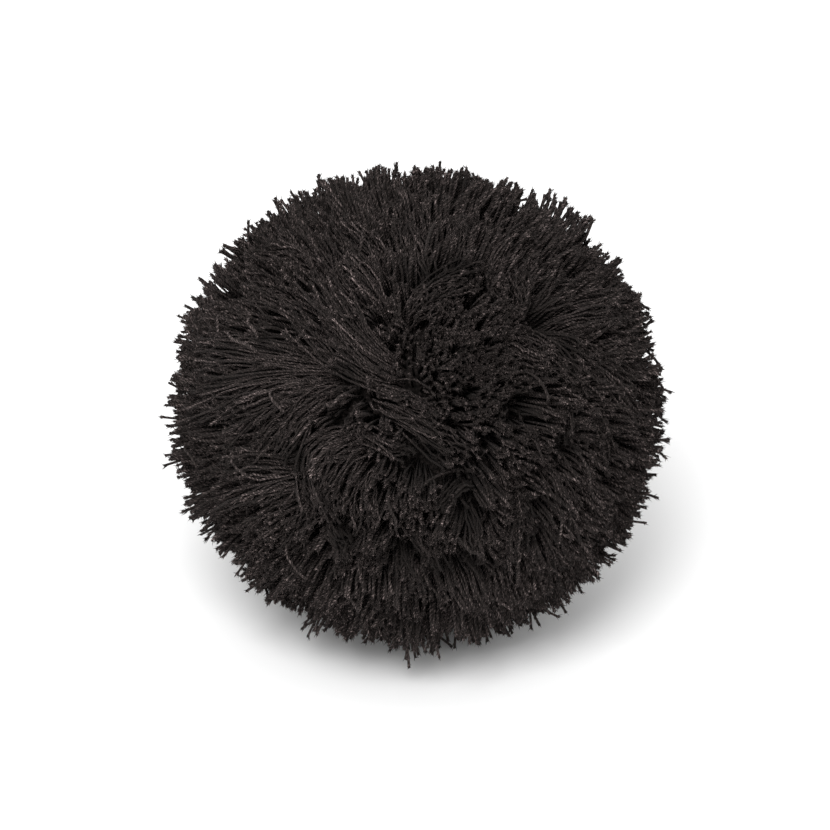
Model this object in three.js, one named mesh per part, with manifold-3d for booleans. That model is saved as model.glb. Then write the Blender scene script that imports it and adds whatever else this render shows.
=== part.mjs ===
// A yarn pom pom: a ball of cut two-ply yarn, combed by handling into leaning tufts.
// Millimetres, +Z up. The origin lies on the surface that the ball rests on, under its middle,
// and the front of the ball faces -Y.
import * as THREE from "three";
import { mergeVertices } from "three/addons/utils/BufferGeometryUtils.js";
import Module from "manifold-3d";

// The ball, to the mean ends of its yarn. It is a little flatter than it is wide, and its
// centre is lower than its upward radius, which leaves the small flat spot that it rests on.
const RADIUS_ACROSS = 49.9;
const RADIUS_UP = 47.4;
const CENTRE_HEIGHT = 45.0;

// The tightly packed heart in which every lock of yarn is rooted.
const HEART_SHARE = 0.66; // of the ball's radius
const HEART_DETAIL = 3; // splits of each edge of the icosahedron
const ROOT_DEPTH = 2.5; // how far a lock's root goes into the heart

// The locks
const LOCK_COUNT = 262;
const LOCK_SIDES = 4;
// Stations along a lock, from root to end: more of them on a lock that is combed further.
const STRAIGHT_LEVELS = [0, 1];
const BENT_LEVELS = [0, 0.6, 1];
const CURVED_LEVELS = [0, 0.42, 0.76, 1];
const BENT_FROM = 0.1; // combing on a ball of radius 1
const CURVED_FROM = 0.24;
const ROOT_WIDTH_SHARE = 0.66; // share of the room between neighbours that a lock fills at its root
const END_WIDTH_SHARE = 0.86; // and at its cut end
const BEND_POWER = 1.5; // over 1, a lock leaves the heart straight and leans further out
const LEAN_LOSS = 0.1; // share of its reach that a lock leaning by one radius would lose
const END_RAGGEDNESS = 1.3; // how far above or below the mean ball a lock is cut
const END_CROWN = 1.1; // rise of a cut end at its middle

// Combing: from an even place on the ball, a lock's end moves forward and its root back, in small
// steps, and locks that crowd each other give way after each step.
const COMB_STEPS = 14;
const SETTLE_STEPS = 8;
const END_SHARE = 0.45; // share of the combing that the end makes, and the root makes the rest
const LOCK_SPACING = 0.175; // least distance between two locks, on a ball of radius 1
const TUFT_WIDTH = THREE.MathUtils.degToRad(7.5);
// Under the ball the combing fades away, and the yarn there stands straight on its cut ends.
const CALM_WITHIN = THREE.MathUtils.degToRad(16);
const COMBED_BEYOND = THREE.MathUtils.degToRad(40);

// The tufts of the front half, as they lie seen from 30 degrees above the front.
// Each is combed from its root to its end: millimetres across and up from the ball's centre.
const FACE_TILT = THREE.MathUtils.degToRad(30);
const TUFT_COLUMNS = ["rootAcross", "rootUp", "endAcross", "endUp"];
const FRONT_TUFTS = [
  [-6, 9, -23, 23],
  [-1, 5, -12, 19],
  [-5, 20, 12, 25],
  [-1, 17, 12, 16],
  [3, 32, 0, 43],
  [10, 31, 12, 42],
  [-5, 31, -16, 38],
  [16, 27, 23, 37],
  [25, 19, 22, 27],
  [20, 15, 32, 5],
  [27, 17, 37, 8],
  [31, 19, 43, 18],
  [29, 28, 37, 31],
  [36, 10, 43, -6],
  [8, 13, 11, 10],
  [16, 8, 20, 1],
  [27, 2, 31, -3],
  [-10, 2, 3, 2],
  [-9, -3, 10, -12],
  [-15, -2, -4, -8],
  [-19, 10, -43, 9],
  [-17, 6, -36, 0],
  [-15, 2, -31, -7],
  [-14, 0, -25, -11],
  [-10, -8, -22, -15],
  [-8, -9, -15, -22],
  [-8, -16, -9, -24],
  [-23, -13, -41, -11],
  [-23, -17, -37, -22],
  [-24, -22, -28, -32],
  [-18, -26, -14, -37],
  [-5, -26, -5, -36],
  [2, -33, 3, -43],
  [-2, -15, -3, -25],
  [9, -18, 9, -28],
  [19, -15, 20, -34],
  [29, -15, 34, -28],
  [30, -5, 38, -14],
  [19, -5, 23, -11],
  [-27, 26, -37, 25],
  [-21, 33, -25, 41],
  [23, -35, 22, -44],
];
// The rest are spread over the back, and combed by turns each way.
const BACK_TUFT_GRID = 62; // even points on the whole ball, of which those behind are used
const BACK_LIMIT = 0.12; // a point further forward than this belongs to the front
const BACK_COMB = [0.16, 0.42]; // least and most combing, on a ball of radius 1
const BACK_COMB_TURN = 2.17; // radians that the combing turns from one tuft to the next
const LEAST_WEIGHT = 0.02; // total weight of tufts under which a lock is combed less

const GOLDEN_ANGLE = Math.PI * (3 - Math.sqrt(5));
const DOWN = new THREE.Vector3(0, 0, -1);

// A fraction from 0 to 1 that looks random but is always the same for the same numbers.
function fixedChance(index, salt) {
  const wave = Math.sin(index * 12.9898 + salt * 78.233) * 43758.5453;
  return wave - Math.floor(wave);
}

// Even points on a ball of radius 1, turned so that the last one points straight down.
function evenDirections(count) {
  const points = Array.from({ length: count }, (_, i) => {
    const height = 1 - (2 * i + 1) / count;
    const girth = Math.sqrt(1 - height * height);
    const turn = i * GOLDEN_ANGLE;
    return new THREE.Vector3(girth * Math.cos(turn), girth * Math.sin(turn), height);
  });
  const upright = new THREE.Quaternion().setFromUnitVectors(points[count - 1], DOWN);
  return points.map((p) => p.applyQuaternion(upright));
}

// The direction from the ball's centre to a place seen on its face.
function facingDirection(across, up) {
  const right = across / RADIUS_ACROSS;
  const above = up / RADIUS_ACROSS;
  const toward = Math.sqrt(Math.max(0, 1 - right * right - above * above));
  return new THREE.Vector3(right, -toward, above)
    .applyAxisAngle(new THREE.Vector3(1, 0, 0), -FACE_TILT)
    .normalize();
}

function frontTufts() {
  return FRONT_TUFTS.map((row) => {
    const tuft = Object.fromEntries(TUFT_COLUMNS.map((name, i) => [name, row[i]]));
    const root = facingDirection(tuft.rootAcross, tuft.rootUp);
    const end = facingDirection(tuft.endAcross, tuft.endUp);
    return { place: root.clone().add(end).normalize(), comb: end.sub(root) };
  });
}

function backTufts() {
  const toward = facingDirection(0, 0);
  return evenDirections(BACK_TUFT_GRID)
    .filter((place) => place.dot(toward) < BACK_LIMIT)
    .map((place, i) => {
      const { u, v } = tangents(place);
      const turn = i * BACK_COMB_TURN;
      const reach = THREE.MathUtils.lerp(...BACK_COMB, fixedChance(i, 3));
      const comb = u.multiplyScalar(Math.cos(turn)).addScaledVector(v, Math.sin(turn));
      return { place, comb: comb.multiplyScalar(reach) };
    });
}

// Two directions square to a direction from the centre and to each other.
function tangents(direction) {
  const sideways = Math.abs(direction.x) > 0.8;
  const helper = new THREE.Vector3(sideways ? 0 : 1, 0, sideways ? 1 : 0);
  const u = helper.cross(direction).normalize();
  const v = direction.clone().cross(u);
  return { u, v };
}

// How a lock at this place is combed: the mean of the tufts near it.
function combingAt(direction, tufts) {
  const sum = new THREE.Vector3();
  let total = 0;
  for (const tuft of tufts) {
    const away = direction.angleTo(tuft.place) / TUFT_WIDTH;
    const weight = Math.exp(-0.5 * away * away);
    sum.addScaledVector(tuft.comb, weight);
    total += weight;
  }
  const calm = THREE.MathUtils.smoothstep(direction.angleTo(DOWN), CALM_WITHIN, COMBED_BEYOND);
  return sum.multiplyScalar(calm / Math.max(total, LEAST_WEIGHT));
}

// Moves each point apart from those that crowd it, by half of the distance that they lack.
function giveWay(points) {
  const pushes = points.map((point, i) => {
    const push = new THREE.Vector3();
    points.forEach((other, j) => {
      const gap = point.distanceTo(other);
      if (i !== j && gap < LOCK_SPACING) {
        push.addScaledVector(point.clone().sub(other), (0.5 * (LOCK_SPACING - gap)) / gap);
      }
    });
    return push;
  });
  points.forEach((point, i) => point.add(pushes[i]).normalize());
}

// Where even places go when they are combed by a share of the full combing.
function combedPoints(places, combing, share) {
  const points = places.map((place) => place.clone());
  for (let step = 0; step < COMB_STEPS + SETTLE_STEPS; step++) {
    if (step < COMB_STEPS) {
      const part = share / COMB_STEPS;
      points.forEach((point, i) => point.addScaledVector(combing[i], part).normalize());
    }
    giveWay(points);
  }
  return points;
}

// The root and end direction of every lock.
function combedLocks() {
  const tufts = [...frontTufts(), ...backTufts()];
  const places = evenDirections(LOCK_COUNT);
  const combing = places.map((place) => combingAt(place, tufts));
  const roots = combedPoints(places, combing, END_SHARE - 1);
  const ends = combedPoints(places, combing, END_SHARE);
  return roots.map((root, i) => {
    const lean = root.distanceTo(ends[i]);
    const { u, v } = tangents(root);
    const turn = fixedChance(i, 1) * Math.PI;
    const side = u.multiplyScalar(Math.cos(turn)).addScaledVector(v, Math.sin(turn));
    return { root, end: ends[i], lean, levels: levelsFor(lean), side };
  });
}

// The stations of a lock that leans this far.
function levelsFor(lean) {
  if (lean < BENT_FROM) return STRAIGHT_LEVELS;
  return lean < CURVED_FROM ? BENT_LEVELS : CURVED_LEVELS;
}

// Distance from the ball's centre to its mean outside, measured along a direction. Below, it is
// cut short by the surface that the ball rests on.
function reachOfBall(direction) {
  const across = (direction.x ** 2 + direction.y ** 2) / RADIUS_ACROSS ** 2;
  const reach = 1 / Math.sqrt(across + (direction.z / RADIUS_UP) ** 2);
  const floor = direction.z < 0 ? -CENTRE_HEIGHT / direction.z : Infinity;
  return { reach: Math.min(reach, floor), onFloor: floor <= reach };
}

function directionAlong(lock, level) {
  return lock.root.clone().lerp(lock.end, level ** BEND_POWER).normalize();
}

// Where each lock's middle is at one level, worked out once for all of them.
function middlesByLevel(locks) {
  const levels = [...new Set([...STRAIGHT_LEVELS, ...BENT_LEVELS, ...CURVED_LEVELS])];
  const middlesAt = (level) => locks.map((lock) => directionAlong(lock, level));
  return new Map(levels.map((level) => [level, middlesAt(level)]));
}

// How far a corner may go from a lock's middle before it meets the halfway line to a neighbour.
function roomToward(middle, toward, others) {
  let room = LOCK_SPACING;
  for (const other of others) {
    const offset = other.clone().sub(middle);
    const along = offset.dot(toward);
    if (along > 0) room = Math.min(room, offset.lengthSq() / (2 * along));
  }
  return room;
}

// One lock as a closed skin: a ring of corners at each level, with the root and the end closed.
function lockGeometry(index, locks, middles) {
  const lock = locks[index];
  const ragged = (2 * fixedChance(index, 2) - 1) * END_RAGGEDNESS;
  const points = [];
  const place = (direction, level, rise = 0) => {
    const { reach, onFloor } = reachOfBall(direction);
    const end = onFloor ? reach : reach * (1 - LEAN_LOSS * lock.lean ** 2) + ragged + rise;
    const start = reach * HEART_SHARE - ROOT_DEPTH;
    const distance = THREE.MathUtils.lerp(start, end, level);
    const point = direction.clone().multiplyScalar(distance);
    point.z = onFloor && level === 1 ? 0 : Math.max(0, point.z + CENTRE_HEIGHT);
    points.push(point);
  };
  for (const level of lock.levels) {
    const middle = middles.get(level)[index];
    const others = middles.get(level).filter((other) => other !== middle);
    const share = THREE.MathUtils.lerp(ROOT_WIDTH_SHARE, END_WIDTH_SHARE, level);
    const first = lock.side.clone().projectOnPlane(middle).normalize();
    for (let side = 0; side < LOCK_SIDES; side++) {
      const toward = first.clone().applyAxisAngle(middle, (side * 2 * Math.PI) / LOCK_SIDES);
      const corner = middle.clone().addScaledVector(toward, share * roomToward(middle, toward, others));
      place(corner.normalize(), level);
    }
  }
  place(middles.get(0)[index], 0);
  place(middles.get(1)[index], 1, END_CROWN);

  const faces = [];
  const rootMiddle = lock.levels.length * LOCK_SIDES;
  const endMiddle = rootMiddle + 1;
  const lastRing = rootMiddle - LOCK_SIDES;
  for (let side = 0; side < LOCK_SIDES; side++) {
    const next = (side + 1) % LOCK_SIDES;
    for (let ring = 0; ring < lastRing; ring += LOCK_SIDES) {
      const above = ring + LOCK_SIDES;
      faces.push(ring + side, ring + next, above + next, ring + side, above + next, above + side);
    }
    faces.push(rootMiddle, next, side, endMiddle, lastRing + side, lastRing + next);
  }
  return new THREE.BufferGeometry().setFromPoints(points).setIndex(faces);
}

function heartGeometry() {
  const heart = new THREE.IcosahedronGeometry(HEART_SHARE, HEART_DETAIL);
  heart.scale(RADIUS_ACROSS, RADIUS_ACROSS, RADIUS_UP);
  return heart.translate(0, 0, CENTRE_HEIGHT);
}

const manifold = await Module();
manifold.setup();

// Turns a closed geometry into a solid that can be joined to others.
function solidFrom(geometry) {
  const bare = geometry.clone();
  bare.deleteAttribute("normal");
  bare.deleteAttribute("uv");
  const merged = mergeVertices(bare, 1e-4);
  return new manifold.Manifold(
    new manifold.Mesh({
      numProp: 3,
      vertProperties: merged.attributes.position.array,
      triVerts: new Uint32Array(merged.index.array),
    }),
  );
}

function geometryFrom(solid) {
  const mesh = solid.getMesh();
  const geometry = new THREE.BufferGeometry()
    .setAttribute("position", new THREE.BufferAttribute(new Float32Array(mesh.vertProperties), 3))
    .setIndex(new THREE.BufferAttribute(new Uint32Array(mesh.triVerts), 1));
  geometry.computeVertexNormals();
  return geometry;
}

// The whole pom pom: the heart with every lock joined to it at its root.
function pompomMesh() {
  const locks = combedLocks();
  const middles = middlesByLevel(locks);
  const solid = locks.reduce(
    (joined, _, index) => joined.add(solidFrom(lockGeometry(index, locks, middles))),
    solidFrom(heartGeometry()),
  );
  const yarn = new THREE.MeshStandardMaterial({ color: 0x231f1e, roughness: 0.95, metalness: 0 });
  const mesh = new THREE.Mesh(geometryFrom(solid), yarn);
  mesh.name = "pompom";
  return mesh;
}

const pompom = new THREE.Group();
pompom.add(pompomMesh());

export default pompom;
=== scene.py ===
"""Dresses the yarn pom pom: every cut yarn over the combed locks, loose fibres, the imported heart,
a pale floor, soft light and the camera. Metres, +Z up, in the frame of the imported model."""

import logging
import math
from dataclasses import dataclass, field
from enum import Enum

import bpy
import numpy as np
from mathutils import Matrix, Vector


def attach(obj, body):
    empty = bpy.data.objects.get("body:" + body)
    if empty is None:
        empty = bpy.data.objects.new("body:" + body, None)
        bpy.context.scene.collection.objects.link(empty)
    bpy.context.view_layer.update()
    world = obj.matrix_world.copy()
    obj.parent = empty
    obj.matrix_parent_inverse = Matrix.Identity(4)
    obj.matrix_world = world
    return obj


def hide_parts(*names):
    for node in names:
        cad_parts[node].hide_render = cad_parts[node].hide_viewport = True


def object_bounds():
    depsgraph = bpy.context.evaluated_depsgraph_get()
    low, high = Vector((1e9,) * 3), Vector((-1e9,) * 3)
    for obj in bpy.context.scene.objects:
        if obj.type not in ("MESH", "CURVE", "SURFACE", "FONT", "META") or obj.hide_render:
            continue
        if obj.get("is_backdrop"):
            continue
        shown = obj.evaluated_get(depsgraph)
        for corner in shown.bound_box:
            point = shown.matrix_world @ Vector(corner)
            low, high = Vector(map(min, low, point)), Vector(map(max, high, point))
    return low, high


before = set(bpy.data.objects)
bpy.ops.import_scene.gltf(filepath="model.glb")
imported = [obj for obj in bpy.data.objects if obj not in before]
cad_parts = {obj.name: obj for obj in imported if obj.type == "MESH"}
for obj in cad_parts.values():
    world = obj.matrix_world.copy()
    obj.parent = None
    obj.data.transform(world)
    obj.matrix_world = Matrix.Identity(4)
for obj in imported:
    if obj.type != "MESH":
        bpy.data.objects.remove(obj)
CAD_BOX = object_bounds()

log = logging.getLogger("pompom")

MM = 0.001
GOLDEN_ANGLE = math.pi * (3 - math.sqrt(5))
DOWN = np.array([0.0, 0.0, -1.0])
BODY = "root"
NODE = "pompom"
BAKE_MAP = "OFBake"
LAY_MAP = "YarnLay"
# The tint attribute carries each yarn's tone by chance together with its painted shade and painted
# light.
TINT = "tint"
CHANCE_STEP = 12.9898
CHANCE_TURN = 78.233
CHANCE_SCALE = 43758.5453
NEAR_SIDE = 0.8
LEAST_FALL = 1e-9
LEAST_DISTANCE = 1e-6
SOFT_BELL = 2
FLAT_BELL = 4
THREE_SIDED = 3


class Side(Enum):
    """The six parts that the yarn is divided into, each by the direction that it faces."""

    CROWN = (0.0, 0.0, 1.0)
    BASE = (0.0, 0.0, -1.0)
    FRONT = (0.0, -1.0, 0.0)
    BACK = (0.0, 1.0, 0.0)
    LEFT = (-1.0, 0.0, 0.0)
    RIGHT = (1.0, 0.0, 0.0)


class Chance(Enum):
    """What a fixed chance is for, each with a number that tells it from the others."""

    RAGGED_LOCK = 2
    COMB_REACH = 3
    TUFT_TURN = 11
    TUFT_REACH = 12
    TUFT_BOW = 13
    TUFT_WIDTH = 14
    TUFT_FIRST_END = 15
    HOLLOW_RADIUS = 16


def unit(vectors: np.ndarray) -> np.ndarray:
    """Scales each vector (the last axis) to length 1."""
    return vectors / np.linalg.norm(vectors, axis=-1, keepdims=True)


def between(limits: tuple[float, float], share: np.ndarray) -> np.ndarray:
    """Goes from the first limit to the second by a share from 0 to 1."""
    return limits[0] + (limits[1] - limits[0]) * share


def bell(away: np.ndarray, power: int) -> np.ndarray:
    """Falls from 1 toward 0: the exponential of less the distance to a power."""
    return np.exp(-(away**power))


def fixed_chance(index: np.ndarray, use: Chance) -> np.ndarray:
    """Gives the fraction of a large sine, which looks random but is the same in every run.

    Args:
        index: Whole numbers, one for each thing.
        use: What the chance is for.

    Returns:
        One number from 0 to 1 for each index.
    """
    wave = np.sin(index * CHANCE_STEP + use.value * CHANCE_TURN) * CHANCE_SCALE
    return wave - np.floor(wave)


def even_directions(count: int) -> np.ndarray:
    """Spreads points evenly on a ball of radius 1, on a spiral that turns by the golden angle.

    The heights step evenly from top to bottom, and the whole is turned so that the last point
    faces straight down.

    Args:
        count: How many points.

    Returns:
        Directions, count by 3.
    """
    steps = np.arange(count)
    height = 1 - (2 * steps + 1) / count
    girth = np.sqrt(1 - height**2)
    turn = steps * GOLDEN_ANGLE
    points = np.stack([girth * np.cos(turn), girth * np.sin(turn), height], axis=1)
    axis = np.cross(points[-1], DOWN)
    cross = np.array([[0, -axis[2], axis[1]], [axis[2], 0, -axis[0]], [-axis[1], axis[0], 0]])
    upright = np.eye(3) + cross + cross @ cross / (1 + points[-1] @ DOWN)
    return points @ upright.T


def tangents(directions: np.ndarray) -> tuple[np.ndarray, np.ndarray]:
    """Gives two directions square to each direction from the centre and to each other.

    Args:
        directions: Directions, n by 3.

    Returns:
        The two square directions, each n by 3.
    """
    sideways = np.abs(directions[:, 0]) > NEAR_SIDE
    helper = np.stack([~sideways, np.zeros_like(sideways), sideways], axis=1).astype(float)
    u = unit(np.cross(helper, directions))
    return u, np.cross(directions, u)


@dataclass(frozen=True)
class Ball:
    """The ball of yarn, to the mean ends of its locks."""

    radius_across: float = 49.9 * MM
    radius_up: float = 47.4 * MM
    centre_height: float = 45.0 * MM
    heart_share: float = 0.77
    root_depth: float = 1.5 * MM

    def reach(self, directions: np.ndarray) -> np.ndarray:
        """Measures from the centre to the outside: an ellipsoid's radius along a direction.

        Args:
            directions: Unit directions, the last axis of 3.

        Returns:
            The distance along each direction.
        """
        across = (directions[..., 0] ** 2 + directions[..., 1] ** 2) / self.radius_across**2
        return 1 / np.sqrt(across + (directions[..., 2] / self.radius_up) ** 2)

    def to_floor(self, directions: np.ndarray) -> np.ndarray:
        """Measures from the centre down to the floor: height over the fall of the direction.

        Args:
            directions: Unit directions, the last axis of 3.

        Returns:
            The distance along each direction, without end where it doesn't fall.
        """
        fall = np.maximum(-directions[..., 2], LEAST_FALL)
        return np.where(directions[..., 2] < 0, self.centre_height / fall, np.inf)


@dataclass(frozen=True)
class Combing:
    """How handling has combed the ball: tufts that each draw the locks near them over."""

    ball: Ball
    lock_count: int = 262
    comb_steps: int = 14
    settle_steps: int = 8
    end_share: float = 0.45
    lock_spacing: float = 0.175
    tuft_width: float = math.radians(7.5)
    calm_within: float = math.radians(16)
    combed_beyond: float = math.radians(40)
    face_tilt: float = math.radians(30)
    back_grid: int = 62
    back_limit: float = 0.12
    back_comb: tuple[float, float] = (0.16, 0.42)
    back_turn: float = 2.17
    least_weight: float = 0.02
    # The front tufts: root across, root up, end across, end up, in millimetres from the middle.
    front_tufts: tuple[tuple[float, float, float, float], ...] = (
        (-6, 9, -23, 23),
        (-1, 5, -12, 19),
        (-5, 20, 12, 25),
        (-1, 17, 12, 16),
        (3, 32, 0, 43),
        (10, 31, 12, 42),
        (-5, 31, -16, 38),
        (16, 27, 23, 37),
        (25, 19, 22, 27),
        (20, 15, 32, 5),
        (27, 17, 37, 8),
        (31, 19, 43, 18),
        (29, 28, 37, 31),
        (36, 10, 43, -6),
        (8, 13, 11, 10),
        (16, 8, 20, 1),
        (27, 2, 31, -3),
        (-10, 2, 3, 2),
        (-9, -3, 10, -12),
        (-15, -2, -4, -8),
        (-19, 10, -43, 9),
        (-17, 6, -36, 0),
        (-15, 2, -31, -7),
        (-14, 0, -25, -11),
        (-10, -8, -22, -15),
        (-8, -9, -15, -22),
        (-8, -16, -9, -24),
        (-23, -13, -41, -11),
        (-23, -17, -37, -22),
        (-24, -22, -28, -32),
        (-18, -26, -14, -37),
        (-5, -26, -5, -36),
        (2, -33, 3, -43),
        (-2, -15, -3, -25),
        (9, -18, 9, -28),
        (19, -15, 20, -34),
        (29, -15, 34, -28),
        (30, -5, 38, -14),
        (19, -5, 23, -11),
        (-27, 26, -37, 25),
        (-21, 33, -25, 41),
        (23, -35, 22, -44),
    )

    def facing(self, across: np.ndarray, up: np.ndarray) -> np.ndarray:
        """Turns places seen on the ball's face into directions from its centre.

        A place across and up lies on a ball of radius 1, which is then tilted back about X.

        Args:
            across: Millimetres to the right of the middle.
            up: Millimetres above the middle.

        Returns:
            Unit directions, n by 3.
        """
        right = across * MM / self.ball.radius_across
        above = up * MM / self.ball.radius_across
        toward = np.sqrt(np.maximum(0, 1 - right**2 - above**2))
        tilt, sine = math.cos(self.face_tilt), math.sin(self.face_tilt)
        y = -toward * tilt + above * sine
        z = toward * sine + above * tilt
        return unit(np.stack([right, y, z], axis=1))

    def hidden_side(self, count: int, seen: float, low: float = math.inf) -> np.ndarray:
        """Gives those of evenly spread directions that the photograph doesn't show.

        Args:
            count: How many directions the whole ball would have.
            seen: The cosine of the angle from the camera, below which they are kept.
            low: The cosine of the angle from straight down, below which they are kept.

        Returns:
            Unit directions, n by 3.
        """
        toward = self.facing(np.zeros(1), np.zeros(1))[0]
        grid = even_directions(count)
        return grid[(grid @ toward < seen) & (grid @ DOWN < low)]

    def tufts(self) -> tuple[np.ndarray, np.ndarray]:
        """Gives every tuft's place and combing, from the table in front and by turns behind.

        Returns:
            Places and combings on a ball of radius 1, each n by 3.
        """
        table = np.array(self.front_tufts, float)
        root = self.facing(table[:, 0], table[:, 1])
        end = self.facing(table[:, 2], table[:, 3])
        behind = self.hidden_side(self.back_grid, self.back_limit)
        steps = np.arange(len(behind))
        u, v = tangents(behind)
        turn = (steps * self.back_turn)[:, None]
        reach = between(self.back_comb, fixed_chance(steps, Chance.COMB_REACH))[:, None]
        combs = reach * (u * np.cos(turn) + v * np.sin(turn))
        return np.concatenate([unit(root + end), behind]), np.concatenate([end - root, combs])

    def combing_at(self, places: np.ndarray) -> np.ndarray:
        """Averages the tufts near each place, each by the bell curve of its distance.

        Under the ball the combing fades away, on a smooth step of the angle from straight down.

        Args:
            places: Unit directions, n by 3.

        Returns:
            The combing at each place, n by 3.
        """
        tuft_places, combs = self.tufts()
        angle = np.arccos(np.clip(places @ tuft_places.T, -1, 1))
        weight = np.exp(-0.5 * (angle / self.tuft_width) ** 2)
        total = np.maximum(weight.sum(axis=1), self.least_weight)
        low = np.arccos(np.clip(places @ DOWN, -1, 1))
        step = np.clip((low - self.calm_within) / (self.combed_beyond - self.calm_within), 0, 1)
        calm = step * step * (3 - 2 * step)
        return (weight @ combs) * (calm / total)[:, None]

    def give_way(self, points: np.ndarray) -> np.ndarray:
        """Moves crowded points apart, each by half of the distance that the pair lacks.

        Args:
            points: Unit directions, n by 3.

        Returns:
            The moved points, n by 3.
        """
        apart = points[:, None, :] - points[None, :, :]
        gap = np.linalg.norm(apart, axis=2)
        crowded = (gap < self.lock_spacing) & (gap > 0)
        push = np.where(crowded, 0.5 * (self.lock_spacing - gap) / np.where(gap > 0, gap, 1), 0)
        return unit(points + (apart * push[:, :, None]).sum(axis=1))

    def combed(self, places: np.ndarray, share: float) -> np.ndarray:
        """Moves places by a share of their combing, in steps that each make room.

        Args:
            places: Unit directions, n by 3.
            share: The share of the combing, which is below 0 for the roots.

        Returns:
            Where the places end, n by 3.
        """
        combing = self.combing_at(places)
        points = places
        for step in range(self.comb_steps + self.settle_steps):
            if step < self.comb_steps:
                points = unit(points + combing * share / self.comb_steps)
            points = self.give_way(points)
        return points


@dataclass
class Locks:
    """The locks of the solid model, from whose roots and ends the yarns take their way."""

    combing: Combing
    bend_power: float = 1.5
    raggedness: float = 1.3 * MM
    place: np.ndarray = field(init=False)
    root: np.ndarray = field(init=False)
    end: np.ndarray = field(init=False)
    ragged: np.ndarray = field(init=False)

    def __post_init__(self) -> None:
        """Works out every lock once."""
        self.place = even_directions(self.combing.lock_count)
        self.root = self.combing.combed(self.place, self.combing.end_share - 1)
        self.end = self.combing.combed(self.place, self.combing.end_share)
        chance = fixed_chance(np.arange(len(self.place)), Chance.RAGGED_LOCK)
        self.ragged = (2 * chance - 1) * self.raggedness


@dataclass(frozen=True)
class Yarn:
    """One cut strand of two-ply yarn, thinner where it is packed at its root."""

    radius: float = 0.30 * MM
    root_radius: float = 0.26 * MM
    full_from: float = 0.5
    wobble: float = 0.36 * MM
    least_waves: float = 0.6
    wobble_growth: float = 0.7

    def swaying(
        self, points: np.ndarray, level: np.ndarray, rng: np.random.Generator
    ) -> np.ndarray:
        """Adds a slow wobble to each yarn: sine waves in two directions, which grow from the root.

        Args:
            points: Points measured from the ball's centre, n by s by 3.
            level: The stations from 0 to 1.
            rng: The source of chance.

        Returns:
            The moved points.
        """
        count = len(points)
        phase = rng.random((count, 2, 1)) * 2 * math.pi
        rate = self.least_waves + rng.random((count, 2, 1))
        sway = np.sin(2 * math.pi * rate * level + phase) * level**self.wobble_growth
        directions = unit(points)
        first = unit(np.cross(directions, unit(rng.normal(0, 1, (count, 1, 3)))))
        second = np.cross(directions, first)
        return points + self.wobble * (first * sway[:, 0, :, None] + second * sway[:, 1, :, None])


@dataclass
class Strands:
    """The ways of many yarns, from the heart to their cut ends.

    Points are n by s by 3 in metres, across is a direction across each yarn, n by 3, and light is
    how light each yarn is painted at each station, n by s: painted shade and light, about 1 where it
    is taken as well lit.
    """

    points: np.ndarray
    across: np.ndarray
    light: np.ndarray

    def part(self, chosen: np.ndarray) -> "Strands":
        """Gives the chosen yarns alone."""
        return Strands(self.points[chosen], self.across[chosen], self.light[chosen])


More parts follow.
